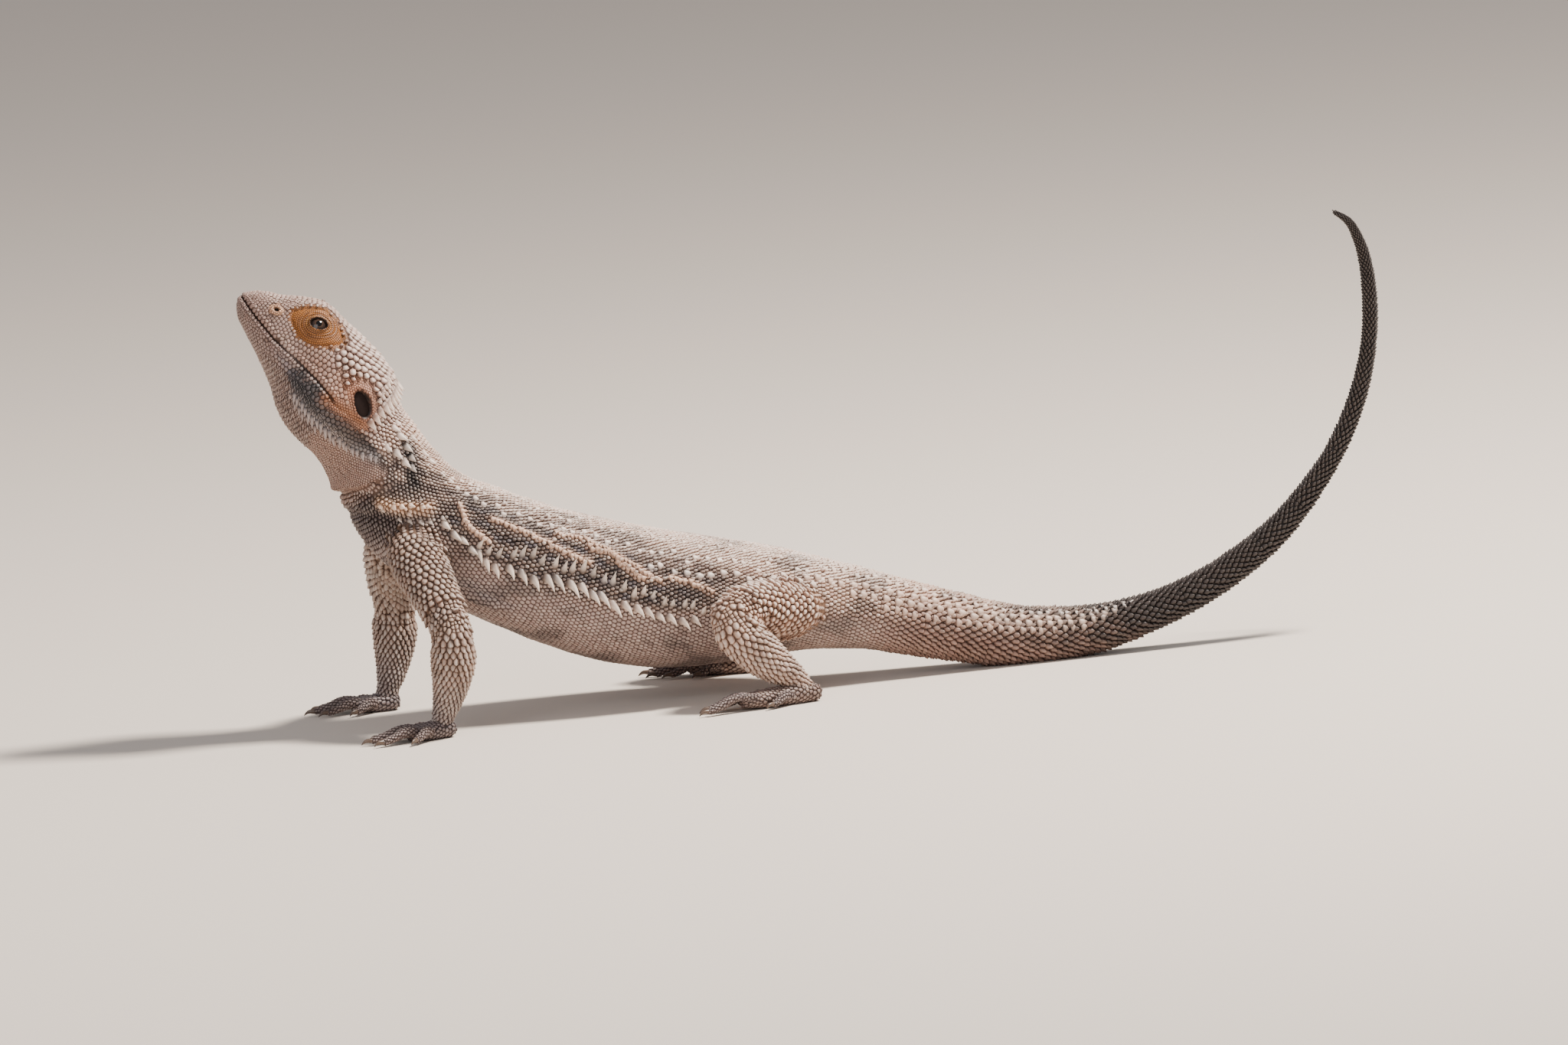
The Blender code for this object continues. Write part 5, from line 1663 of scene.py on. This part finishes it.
WHITE, CREAM, GREY = (232, 216, 204), (240, 222, 206), (172, 156, 150)
STUD, PEACH, THIGH_CONE = (208, 184, 168), (232, 204, 182), (236, 218, 206)
FRONT_LINE = ((87.5, 84), (92, 84.5), (97.5, 87))
LOW_LINE = ((99.5, 89), (102.5, 93.5), (106, 90), (114, 88), (122, 84.5), (131, 85.5), (140, 90))
LOW_LINE += ((147.5, 92.5), (156, 96), (164, 98))
HIGH_LINE = ((99, 84), (104, 84), (110, 80), (115, 76), (124, 75), (131, 73), (136, 75), (141, 80), (151, 84))
HIGH_LINE += ((159, 88), (167, 92))
JAW_LINE = ((30, 119), (37, 114), (43, 108), (50, 103))
OUTER_LINE = ((84, 42), (120, 38), (170, 44), (206, 48))
SPINE_ROWS = {
    "flank_front": SpineRow(FRONT_LINE, 4, 3.7, 1.15, 50, 8, 8, 0.12, 0.9, 1.5, 0.85, CREAM),
    "flank_low": SpineRow(LOW_LINE, 20, 4.1, 1.25, 60, 15, 90, 0.6, 0.75, 1.5, 0.85, CREAM),
    "flank_high": SpineRow(HIGH_LINE, 23, 3.5, 0.92, 46, -95, -45, 0.2, 0.7, 1.5, 0.85, CREAM),
    "fold": SpineRow(((72.0, 109), (76.5, 94), (80.5, 79)), 8, 1.5, 0.85, 56, -15, 0, 0.2, 0.7, 5.0, 0.7),
    "fold_inner": SpineRow(((78, 106), (82, 92), (86, 78)), 5, 1.7, 0.8, 56, 0),
    "nape_high": SpineRow(((57, 36), (66, 34), (80, 34)), 6, 1.9, 0.95, 50),
    "nape_mid": SpineRow(((57.5, 46), (61, 50), (65.5, 56)), 4, 2.9, 1.15, 48),
    "nape_low": SpineRow(((59.5, 72), (63, 68), (68, 64)), 4, 2.8, 1.1, 52),
    "crown_edge": SpineRow(((48.5, 6), (50, 30), (50.5, 50), (51, 64)), 10, 3.5, 1.1, 52, 0, 0, 0.15, 0.85),
    "crown_inner": SpineRow(((44, 10), (46, 30), (48, 48)), 8, 1.6, 1.05, 64),
    "jaw_edge": SpineRow(BEARD_PALE, 19, 2.3, 0.66, 68, 34, 30, 0.2, 0.75, 1.5, 0.75, GREY),
    "jaw_low": SpineRow(JAW_LINE, 13, 2.1, 0.6, 70, 36, 30, 0.2, 0.75, 1.5, 0.5, GREY),
}
# Studs of the back and tail: line, count, height, radius, lean, fade, scatter, white, tone, blunt
STUDS = {
    "back_low": (((150, 58), (176, 60), (200, 60)), 14, 1.2, 1.15, 45, 0.8, 3.0, 0.8, WHITE, 0.8),
    "back_outer": (OUTER_LINE, 34, 1.0, 0.95, 48, 0.9, 4.0, 0.85, WHITE, 0.6),
    "back_inner": (((80, 26), (130, 23), (206, 28)), 36, 0.9, 0.85, 52, 0.9, 4.0, 0.85, WHITE, 0.4),
    "back_middle": (((70, 9), (140, 8), (215, 9)), 44, 0.85, 0.75, 56, 0.9, 4.0, 0.85, WHITE, 0.2),
    "tail_top": (((206, 14), (300, 16)), 34, 1.1, 0.95, 58, 0.85, 3.0, 0.7, WHITE, 0.2),
    "tail_high": (((204, 32), (298, 32)), 32, 1.2, 1.1, 54, 0.85, 2.5, 0.75, WHITE, 0.5),
    "tail_side_1": (((198, 54), (216, 49), (294, 47)), 28, 1.35, 1.2, 48, 0.8, 1.5, 0.7, STUD, 0.75),
    "tail_side_2": (((212, 64), (240, 62), (290, 61)), 24, 1.4, 1.25, 48, 0.8, 1.5, 0.7, STUD, 0.75),
    "tail_side_3": (((222, 78), (284, 76)), 20, 1.2, 1.2, 50, 0.75, 1.5, 0.6, STUD, 0.75),
}
for stud, (*sizes, fade, scatter, white, tone, blunt) in STUDS.items():
    bend = 0.3 if stud.startswith("back") else 0.2
    SPINE_ROWS[stud] = SpineRow(*sizes, 0, 0, bend, fade, scatter, white, tone, blunt)
for number, (ridge, _, _) in enumerate(RIDGES):
    steps = np.diff(np.array(ridge, float), axis=0) * (1, RIDGE_DEGREE)
    count = round(np.hypot(*steps.T).sum() / 1.3)
    SPINE_ROWS[f"ridge_{number}"] = SpineRow(ridge, count, 1.15, 0.9, 50, -20, 0, 0.1, 0.9, 0.9, 0.4, PEACH)
CONE_RINGS = 7


class Spines:
    """The spines and enlarged pointed scales, as joined meshes."""

    def __init__(self, coat: Coat) -> None:
        """Keeps the coat whose body and skin the spines stand on."""
        self.coat, self.body = coat, coat.body
        self.master = Master(8, CONE_RINGS)
        self.draw = np.random.default_rng(SEED + 1)

    def row(self, row: SpineRow) -> tuple[Array, ...]:
        """Roots, directions and sizes of a row, on both sides.

        Args:
            row: Its numbers.

        Returns:
            Root places, leaning ways, bending ways, heights, radii, distances and angles.
        """
        line = np.array(row.line, float)
        share = np.linspace(0, 1, row.count)
        steps = np.concatenate([[0], np.cumsum(np.hypot(np.diff(line[:, 0]), 0.35 * np.diff(line[:, 1])))])
        rows = []
        for side in Side:
            at = np.clip(share + self.draw.uniform(-0.18, 0.18, row.count) / row.count, 0, 1) * steps[-1]
            s, angle = np.interp(at, steps, line[:, 0]), np.interp(at, steps, line[:, 1])
            angle = (angle + self.draw.normal(0, row.scatter, row.count) * 0.8) * side.value
            swell = row.fade + (1 - row.fade) * np.sin(math.pi * np.clip(share * 1.1 + 0.08, 0, 1))
            tall = row.height * swell * self.draw.uniform(0.82, 1.15, row.count)
            rows.append((s, angle, tall, row.radius * (0.7 + 0.3 * swell)))
        s, angle, tall, radius = (np.concatenate(part) for part in zip(*rows))
        place, out = self.body.points(s, angle), self.body.normals(s, angle)
        place, kept = self.coat.on_skin(place, out, 0.8)
        s, angle, tall, radius, place, out = only(kept, s, angle, tall, radius, place, out)
        back = level_with(out, self.body.frames(s)[3])
        lean = math.radians(row.lean)
        way = unit(out * math.cos(lean) + turned(back, out, angle, row.drop) * math.sin(lean))
        return place, way, turned(back, out, angle, row.hook), tall, radius, s, angle

    def cones(
        self, place: Array, way: Array, aim: Array, tall: Array, radius: Array, bend: float, blunt: float
    ) -> Array:
        """Curved cones with swollen roots.

        Args:
            place: Root places.
            way: Which way each points.
            aim: Which way each bends.
            tall: Heights.
            radius: Root radii.
            bend: How far the tip is carried over, as a share of the height.
            blunt: How round the top is.

        Returns:
            Vertices as (cone, vertex, 3).
        """
        ring, turn = self.master.ring, self.master.turn
        t = np.array((-0.3, -0.22, 0.06, 0.28, 0.52, 0.76, 0.93, 1.0))[ring]
        sharp = np.array((0.0, 1.2, 1.18, 0.88, 0.6, 0.34, 0.14, 0.0))
        wide = (sharp + blunt * (np.array((0.0, 1.2, 1.2, 1.12, 0.96, 0.7, 0.4, 0.0)) - sharp))[ring]
        across = unit(np.cross(way, aim))
        over = np.cross(across, way)
        centre = place[:, None] + way[:, None] * (tall[:, None] * t)[..., None]
        centre = centre + aim[:, None] * (tall[:, None] * bend * np.clip(t, 0, 1) ** 2)[..., None]
        spread = (radius[:, None] * wide)[..., None]
        around = across[:, None] * np.cos(turn)[None, :, None] + over[:, None] * np.sin(turn)[None, :, None]
        return centre + around * spread

    def build(self) -> list[bpy.types.Object]:
        """Makes the spines of head, torso and tail.

        Returns:
            The pieces.
        """
        groups: dict[str, list[tuple[Array, Array, Array]]] = {}
        for name, row in SPINE_ROWS.items():
            place, way, aim, tall, radius, s, angle = self.row(row)
            points = self.cones(place, way, aim, tall, radius, row.bend, row.blunt)
            under = self.coat.markings.trunk(s, angle, place)
            word = "tail" if name.startswith("tail") else "head" if s.mean() < 56 else "body"
            tint = self.colours(under, row.white, row.tone)
            groups.setdefault(word, []).append((points, tint, on_unwrap(s, angle)))
        place, way, tall, radius = self.thigh_rows()
        points = self.cones(place, way, way, tall, radius, 0.0, 0.0)
        tint = self.colours(np.tile(self.coat.markings.limb, (len(place), 1)), 0.9, THIGH_CONE)
        spread = np.stack((np.linspace(0.05, 0.95, len(place)), np.full(len(place), 0.29)), 1)
        groups.setdefault("thighs", []).append((points, tint, spread))
        made = []
        for word, parts in groups.items():
            points, tint, atlas = (np.concatenate(rows) for rows in zip(*parts))
            points[..., 2] = np.maximum(points[..., 2], 0.03)
            piece = self.master.copies(f"spines_{word}", points)
            paint(piece, tint.reshape(-1, 3))
            unwrap(piece, self.master, atlas, (0, 0.5, 0.45, 0.38, 0.3, 0.2, 0.1, 0))
            finish(piece, SPINES)
            made.append(piece)
            LOG.info("%s: %d spines", piece.name, len(points))
        return made

    def colours(self, under: Array, white: float, tone: tuple) -> Array:
        """Colours of spines: the skin's at the root, pale at the tip, with painted shade darkest at the root.
        """
        ring = self.master.ring
        share = np.array((0.0, 0.05, 0.22, 0.6, 0.92, 1.0, 1.0, 0.95))[ring] * white
        # painted shade: darker towards the root, where the spine meets the skin, and a little at the tip
        shade = np.array((0.3, 0.36, 0.66, 0.95, 1.0, 1.0, 1.0, 0.92))[ring]
        dim = 0.55 + 0.45 * np.clip(under.mean(1, keepdims=True) / 0.12, 0, 1)
        pale = srgb(*tone) * self.draw.normal(1, 0.06, (len(under), 1)) * dim
        under, pale = under[:, None], pale[:, None]
        return (under + (pale - under) * share[None, :, None]) * shade[None, :, None]

    def thigh_rows(self) -> tuple[Array, ...]:
        """Short spines in diagonal rows on the back of each thigh."""
        places, ways, tall, radius = [], [], [], []
        for limb in self.coat.limbs:
            if not limb.name.startswith("thigh"):
                continue
            s = np.repeat(np.linspace(0.34, 0.95, 8) * limb.length, 7)
            fan = np.tile(np.linspace(-52, 62, 7), 8) + np.repeat(np.arange(8) % 2, 7) * 9
            _, side, up, _ = limb.frames(s)
            target = np.array((0.3, 0.42 * limb.sign, 0.85))
            middle = np.degrees(np.arctan2(side @ target, up @ target))
            degrees = middle + fan + self.draw.normal(0, 3, len(s))
            place, out = limb.points(s, degrees), limb.normals(s, degrees)
            place, kept = self.coat.on_skin(place, out, 0.5)
            rear = np.array((0.75, 0.1 * limb.sign, 0.2))
            way = unit(out[kept] * 0.5 + rear)
            places.append(place[kept])
            ways.append(way)
            tall.append(self.draw.uniform(1.8, 2.6, kept.sum()))
            radius.append(self.draw.uniform(0.8, 1.05, kept.sum()))
        return tuple(np.concatenate(part) for part in (places, ways, tall, radius))


@dataclass
class Digit:
    """A finger or toe, with the claw at its tip."""

    limb: Limb
    tip: Array
    way: Array


class Claws:
    """The claws of each foot, as one piece for a foot."""

    rings = 9

    def __init__(self, digits: dict[str, list[Digit]]) -> None:
        """Keeps the digits of each foot by its name."""
        self.digits = digits
        self.master = Master(10, self.rings)

    def build(self) -> list[bpy.types.Object]:
        """Makes the claws.

        Returns:
            One piece for each foot.
        """
        t = np.array((-0.35, -0.3, -0.05, 0.15, 0.35, 0.55, 0.72, 0.86, 0.96, 1.0))[self.master.ring]
        wide = np.array((0, 0.8, 1.0, 0.92, 0.78, 0.62, 0.46, 0.3, 0.13, 0.0))[self.master.ring]
        made = []
        for name, digits in self.digits.items():
            rows = []
            for digit in digits:
                across = unit(np.cross(digit.way, np.array((0, 0, 1.0))))
                over = np.cross(across, digit.way)
                arch = np.sin(math.pi * np.clip(t, 0, 1)) * 0.55
                centre = digit.tip + digit.way * (t * CLAW_LENGTH)[:, None] + over * arch[:, None]
                turn = self.master.turn
                around = across * np.cos(turn)[:, None] * 0.8 + over * np.sin(turn)[:, None]
                rows.append(centre + around * (wide * CLAW_RADIUS)[:, None])
            points = np.array(rows)
            points[..., 2] = np.maximum(points[..., 2], 0.03)
            piece = self.master.copies(f"claws_{name}", points)
            shade = 1 - 0.35 * np.clip(t, 0, 1)
            tint = np.tile((srgb(96, 78, 66) * shade[:, None])[None], (len(points), 1, 1))
            paint(piece, tint.reshape(-1, 3))
            finish(piece, CLAWS)
            made.append(piece)
        return made


@dataclass
class Eye:
    """An eyeball between its lids."""

    oval: Oval
    word: str
    radius: float = 3.7
    depth: float = 3.55  # of its centre under the lids' middle

    def build(self) -> bpy.types.Object:
        """Makes the ball, with its front towards the opening.

        Returns:
            The eye.
        """
        piece, ring, turn = ball(f"eye_{self.word}_ball", 64, 72)
        polar = math.pi * (1 - ring / 72)
        cornea = 1 + 0.05 * np.exp(-((polar / 0.5) ** 2))
        x = np.sin(polar) * np.cos(turn)
        y = np.sin(polar) * np.sin(turn)
        z = np.cos(polar) * cornea
        oval = self.oval
        centre = oval.middle - oval.out * self.depth
        places = centre + self.radius * (
            oval.long * x[:, None] + oval.short * y[:, None] + oval.out * z[:, None]
        )
        put_corners(piece, places * MM)
        face_outward(piece)
        away = self.radius * np.sin(np.minimum(polar, math.pi / 2))
        layer = piece.data.attributes.new("from_pupil", "FLOAT", "POINT")
        layer.data.foreach_set("value", away.astype(np.float32))
        shade_smooth(piece)
        finish(piece, EYE)
        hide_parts(f"eye_{self.word}")
        return piece


@dataclass
class Ear:
    """The eardrum at the bottom of its pit."""

    oval: Oval
    word: str
    depth: float = 0.95

    def build(self) -> bpy.types.Object:
        """Makes the drum.

        Returns:
            The eardrum.
        """
        piece, ring, turn = ball(f"ear_{self.word}_drum", 40, 20)
        polar = math.pi * (1 - ring / 20)
        oval = self.oval
        a, b = oval.half
        centre = oval.middle - oval.out * (self.depth + 0.5)
        places = centre + (
            oval.long * (a * 0.96 * np.sin(polar) * np.cos(turn))[:, None]
            + oval.short * (b * 0.96 * np.sin(polar) * np.sin(turn))[:, None]
            + oval.out * (0.45 * np.cos(polar))[:, None]
        )
        put_corners(piece, places * MM)
        face_outward(piece)
        shade_smooth(piece)
        finish(piece, DRUM)
        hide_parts(f"eardrum_{self.word}")
        return piece


# Finishes


class Mask(Enum):
    """The shared groups of shader nodes."""

    GRAIN = "fine grain of horn and skin"


def node(tree: bpy.types.NodeTree, kind: str, **values: object) -> bpy.types.Node:
    """Adds a node, and sets its properties and those of its sockets that the values name.

    Args:
        tree: Where it is added.
        kind: Its type, without the word before it.
        values: Values by the names of properties, or of sockets with _ for a blank.

    Returns:
        The node.
    """
    made = tree.nodes.new(f"ShaderNode{kind}")
    for name, value in values.items():
        if hasattr(made, name):
            setattr(made, name, value)
        else:
            made.inputs[name.replace("_", " ")].default_value = value
    return made


def grain_group() -> bpy.types.NodeTree:
    """A group that turns a tint into an uneven colour, a roughness and a height, built once."""
    found = bpy.data.node_groups.get(Mask.GRAIN.value)
    if found:
        return found
    group = bpy.data.node_groups.new(Mask.GRAIN.value, "ShaderNodeTree")
    for way, names in (("INPUT", ("Tint", "Scale", "Amount")), ("OUTPUT", ("Colour", "Roughness", "Height"))):
        for name in names:
            kind = "NodeSocketColor" if name in ("Tint", "Colour") else "NodeSocketFloat"
            group.interface.new_socket(name=name, in_out=way, socket_type=kind)
    given, sent = (group.nodes.new(f"NodeGroup{way}") for way in ("Input", "Output"))
    where = node(group, "TexCoord")
    noise = node(group, "TexNoise", Detail=5, Roughness=0.6)
    spread = node(group, "MapRange", From_Min=0.3, From_Max=0.7, To_Min=-1, To_Max=1)
    swing = node(group, "Math", operation="MULTIPLY_ADD")
    swing.inputs[2].default_value = 1
    shade = node(group, "VectorMath", operation="SCALE")
    rough = node(group, "MapRange", To_Min=0.62, To_Max=0.4)
    for start, end in (
        (where.outputs["Object"], noise.inputs["Vector"]),
        (given.outputs["Scale"], noise.inputs["Scale"]),
        (noise.outputs["Fac"], spread.inputs["Value"]),
        (spread.outputs["Result"], swing.inputs[0]),
        (given.outputs["Amount"], swing.inputs[1]),
        (given.outputs["Tint"], shade.inputs[0]),
        (swing.outputs["Value"], shade.inputs["Scale"]),
        (shade.outputs["Vector"], sent.inputs["Colour"]),
        (noise.outputs["Fac"], rough.inputs["Value"]),
        (rough.outputs["Result"], sent.inputs["Roughness"]),
        (noise.outputs["Fac"], sent.inputs["Height"]),
    ):
        group.links.new(start, end)
    return group


@dataclass(frozen=True)
class Finish:
    """A painted finish: a tint on the vertices with a fine grain."""

    name: str
    scale: float = 2400.0
    amount: float = 0.12
    bump: float = 0.25
    specular: float = 0.5
    roughness: float | None = None  # where none is given, the grain gives it
    tint: tuple | None = None  # a plain colour instead of the vertices' own

    def material(self) -> bpy.types.Material:
        """The finish's material, made once."""
        made = bpy.data.materials.get(self.name)
        if not made:
            made = bpy.data.materials.new(self.name)
            made.use_nodes = True
            self.dress(made.node_tree, made.node_tree.nodes["Principled BSDF"].inputs)
        return made

    def dress(self, tree: bpy.types.NodeTree, inputs: bpy.types.NodeInputs) -> None:
        """Builds the nodes of the material."""
        inputs["Specular IOR Level"].default_value = self.specular
        if self.roughness is not None:
            inputs["Roughness"].default_value = self.roughness
        if self.tint:
            inputs["Base Color"].default_value = (*self.tint, 1)
            return
        grain = node(tree, "Group", node_tree=grain_group(), Scale=self.scale, Amount=self.amount)
        tree.links.new(self.colour(tree), grain.inputs["Tint"])
        tree.links.new(grain.outputs["Colour"], inputs["Base Color"])
        if self.roughness is None:
            tree.links.new(grain.outputs["Roughness"], inputs["Roughness"])
        if self.bump:
            bump = node(tree, "Bump", Strength=self.bump, Distance=0.0001)
            tree.links.new(grain.outputs["Height"], bump.inputs["Height"])
            tree.links.new(bump.outputs["Normal"], inputs["Normal"])

    def colour(self, tree: bpy.types.NodeTree) -> bpy.types.NodeSocket:
        """Where the colour comes from."""
        return node(tree, "Attribute", attribute_name="tint").outputs["Color"]


@dataclass(frozen=True)
class EyeFinish(Finish):
    """A wet eye with its iris and pupil."""

    rings: tuple = (
        (0.0, (3, 2, 3)),
        (0.32, (5, 4, 4)),
        (0.38, (70, 50, 36)),
        (0.48, (52, 38, 31)),
        (0.7, (36, 27, 24)),
        (0.85, (22, 17, 15)),
        (0.93, (12, 9, 9)),
        (1.0, (8, 6, 6)),
    )
    reach: float = 2.6

    def colour(self, tree: bpy.types.NodeTree) -> bpy.types.NodeSocket:
        """Rings of colour round the pupil, under a clear coat."""
        inputs = tree.nodes["Principled BSDF"].inputs
        inputs["Coat Weight"].default_value = 0.3
        inputs["Coat Roughness"].default_value = 0.03
        away = node(tree, "Attribute", attribute_name="from_pupil")
        span = node(tree, "MapRange", From_Max=self.reach)
        ramp = node(tree, "ValToRGB")
        points = ramp.color_ramp.elements
        while len(points) < len(self.rings):
            points.new(0.5)
        for point, (at, colour) in zip(points, self.rings):
            point.position = at
            point.color = (*srgb(*colour), 1)
        tree.links.new(away.outputs["Fac"], span.inputs["Value"])
        tree.links.new(span.outputs["Result"], ramp.inputs["Fac"])
        return ramp.outputs["Color"]


SKIN = Finish("skin between scales", specular=0.35)
SCALES = Finish("dry scales", 1700.0, 0.16, 0.3)
SPINES = Finish("pale horn", amount=0.08, bump=0.2, roughness=0.48)
CLAWS = Finish("dark horn", amount=0.15, bump=0.15, roughness=0.35)
DRUM = Finish("thin drum skin", specular=0.15, roughness=0.6, tint=tuple(srgb(30, 19, 17)))
EYE = EyeFinish("wet eye", 3200.0, 0.5, 0.0, 0.3, 0.12)
FLOOR = Finish("studio floor", roughness=0.85, tint=(0.7, 0.62, 0.54))


def finish(piece: bpy.types.Object, look: Finish) -> None:
    """Dresses a piece and lets it ride on the model.

    Args:
        piece: The piece.
        look: Its finish.
    """
    piece.data.materials.clear()
    piece.data.materials.append(look.material())
    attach(piece, "root")


# Studio


@dataclass
class Studio:
    """Floor, lights and the camera at the photo's angle."""

    pixel: float = 0.22  # millimetres across one pixel of the photo, at the animal
    turn: float = 10.0
    above: float = 7.0
    roll: float = 4.5
    seen_at: tuple[float, float] = (560, 965)  # where the left hand's middle lies on the photo
    size: tuple[float, float] = (2048, 1365)
    hand: tuple[float, float, float] = (-127, -35, 0)
    away: float = 5000.0

    def floor(self) -> None:
        """Lays the floor."""
        bpy.ops.object.select_all(action="DESELECT")
        bpy.ops.mesh.primitive_plane_add(size=9, location=(0, 0, 0))
        ground = bpy.context.object
        ground.name = "floor"
        ground.data.materials.append(FLOOR.material())

    def light(self, name: str, place: tuple, power: float, size: float, colour: tuple) -> None:
        """Adds a soft light aimed at the animal."""
        data = bpy.data.lights.new(name, "AREA")
        data.energy, data.size, data.color = power, size, colour
        lamp = bpy.data.objects.new(name, data)
        lamp.location = place
        lamp.rotation_euler = (Vector((0, 0, 0.05)) - Vector(place)).to_track_quat("-Z", "Y").to_euler()
        bpy.context.scene.collection.objects.link(lamp)

    def camera(self) -> None:
        """Sets up the camera as the photo was taken, from far away with a long lens."""
        turn, above, roll = (math.radians(a) for a in (self.turn, self.above, self.roll))
        level = Vector((math.cos(turn), -math.sin(turn), 0))
        inward = Vector((math.sin(turn), math.cos(turn), 0))
        upright = Vector((0, 0, 1)) * math.cos(above) + inward * math.sin(above)
        right = level * math.cos(roll) - upright * math.sin(roll)
        up = level * math.sin(roll) + upright * math.cos(roll)
        back = right.cross(up)
        centre = Vector(self.hand) + right * (self.size[0] / 2 - self.seen_at[0]) * self.pixel
        centre += up * (self.seen_at[1] - self.size[1] / 2) * self.pixel
        data = bpy.data.cameras.new("photo")
        data.sensor_width, data.sensor_fit = 36, "HORIZONTAL"
        data.lens = 36 * self.away / (self.size[0] * self.pixel)
        data.clip_start, data.clip_end = 0.5, 50
        camera = bpy.data.objects.new("photo", data)
        place = (centre + back * self.away) * MM
        camera.matrix_world = Matrix((
            (right.x, up.x, back.x, place.x),
            (right.y, up.y, back.y, place.y),
            (right.z, up.z, back.z, place.z),
            (0, 0, 0, 1),
        ))
        bpy.context.scene.collection.objects.link(camera)
        bpy.context.scene.camera = camera

    def build(self) -> None:
        """Builds all of the studio."""
        self.floor()
        world = bpy.data.worlds.new("studio")
        world.use_nodes = True
        sky = world.node_tree.nodes["Background"]
        sky.inputs["Color"].default_value = (0.92, 0.91, 0.95, 1)
        sky.inputs["Strength"].default_value = 0.42
        bpy.context.scene.world = world
        self.light("key", (0.62, -0.12, 1.25), 54, 0.24, (1.0, 0.93, 0.86))
        self.light("fill", (-0.8, -1.4, 0.8), 12, 1.2, (0.93, 0.95, 1.0))
        self.camera()


# The whole


def limb_chains() -> tuple[list[Limb], dict[str, list[Digit]]]:
    """The pieces of all limbs, and the digits of each foot.

    Returns:
        Limbs and digits as tubes, and the digits by the name of their foot.
    """
    limbs: list[Limb] = []
    feet: dict[str, list[Digit]] = {}
    digits: list[Limb] = []
    for side in Side:
        sign, word = side.value, side.name.lower()
        shift = RIGHT_ARM_SHIFT if side is Side.RIGHT else 0.0
        chains = (
            (("upper_arm", UPPER_ARM), ("forearm", FOREARM), ("hand", PALM), FINGERS, shift),
            (("thigh", THIGH), ("shank", SHANK), ("foot", SOLE), TOES, 0.0),
        )
        for root, middle, end, tips, move in chains:
            first = root[1][0][1]
            eased = [(x + move * min(1, (y - first) / 30), y, z, a, b) for x, y, z, a, b in root[1]]
            foot = f"{end[0]}_{word}"
            limbs += [
                Limb(f"{root[0]}_{word}", eased, sign, 0.0, LIMB_INSET),
                Limb(f"{middle[0]}_{word}", middle[1], sign, move, LIMB_INSET),
                Limb(foot, end[1], sign, move, DIGIT_INSET),
            ]
            for x, y, heading, length, arch in tips:
                digit = one_digit(f"digit_{foot}_{len(digits)}", (x + move, y), heading, length, arch, sign)
                digits.append(digit.limb)
                feet.setdefault(foot, []).append(digit)
    return limbs + digits, feet


def one_digit(name: str, root: tuple, heading: float, length: float, arch: float, sign: int) -> Digit:
    """A finger or toe, lying forward from its root with a bend at the knuckle.

    Args:
        name: Its name.
        root: X and Y outward of its root.
        heading: Degrees outward from straight ahead.
        length: From root to tip.
        arch: How high the knuckle rises.
        sign: Which side.

    Returns:
        The digit.
    """
    turn = math.radians(heading)
    ahead = np.array((-math.cos(turn), sign * math.sin(turn), 0))
    thick, thin = DIGIT_RADII
    base = np.array((root[0], sign * root[1], 2.2))
    knuckle = base + ahead * length * 0.45 + np.array((0, 0, arch))
    tip = base + ahead * length
    tip[2] = thin + 0.45
    rows = [
        (*(base - ahead * 2.4), thick, thick),
        (*knuckle, thick * 0.95, thick * 0.95),
        (*(base + ahead * length * 0.74 + np.array((0, 0, arch * 0.35 - 0.4))), thin * 1.15, thin * 1.15),
        (*tip, thin, thin),
    ]
    down = (tip[2] - 0.5) / CLAW_LENGTH
    way = unit(ahead * math.sqrt(1 - down * down) - np.array((0, 0, down)))
    return Digit(Limb(name, rows, 1, 0.0, DIGIT_INSET), tip + ahead * thin * 0.6, way)


FLESH = ("head", "jaw", "neck", "torso", "tail_base", "tail_middle", "tail_raised", "tail_tip")
LIMB_NODES = ("upper_arm", "forearm", "hand", "thigh", "shank", "foot")


def dress() -> None:
    """Builds and dresses everything on the model."""
    body = Body()
    limbs, feet = limb_chains()
    markings = Markings(body)
    skin = Skin(body, limbs, markings).build()
    finish(skin, SKIN)
    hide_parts(*FLESH, *(f"{name}_{side.name.lower()}" for name in LIMB_NODES for side in Side))
    coat = Coat(body, limbs, markings, skin)
    coat.build()
    Spines(coat).build()
    Claws(feet).build()
    for side in Side:
        word = side.name.lower()
        Eye(body.faces[side].eye, word).build()
        Ear(body.faces[side].ear, word).build()
    bpy.ops.object.select_all(action="DESELECT")


def main() -> None:
    """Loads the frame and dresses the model."""
    logging.basicConfig(level=logging.INFO, format="%(message)s")
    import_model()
    bpy.ops.object.select_all(action="DESELECT")
    dress()
    Studio().build()


if __name__ == "__main__":
    main()
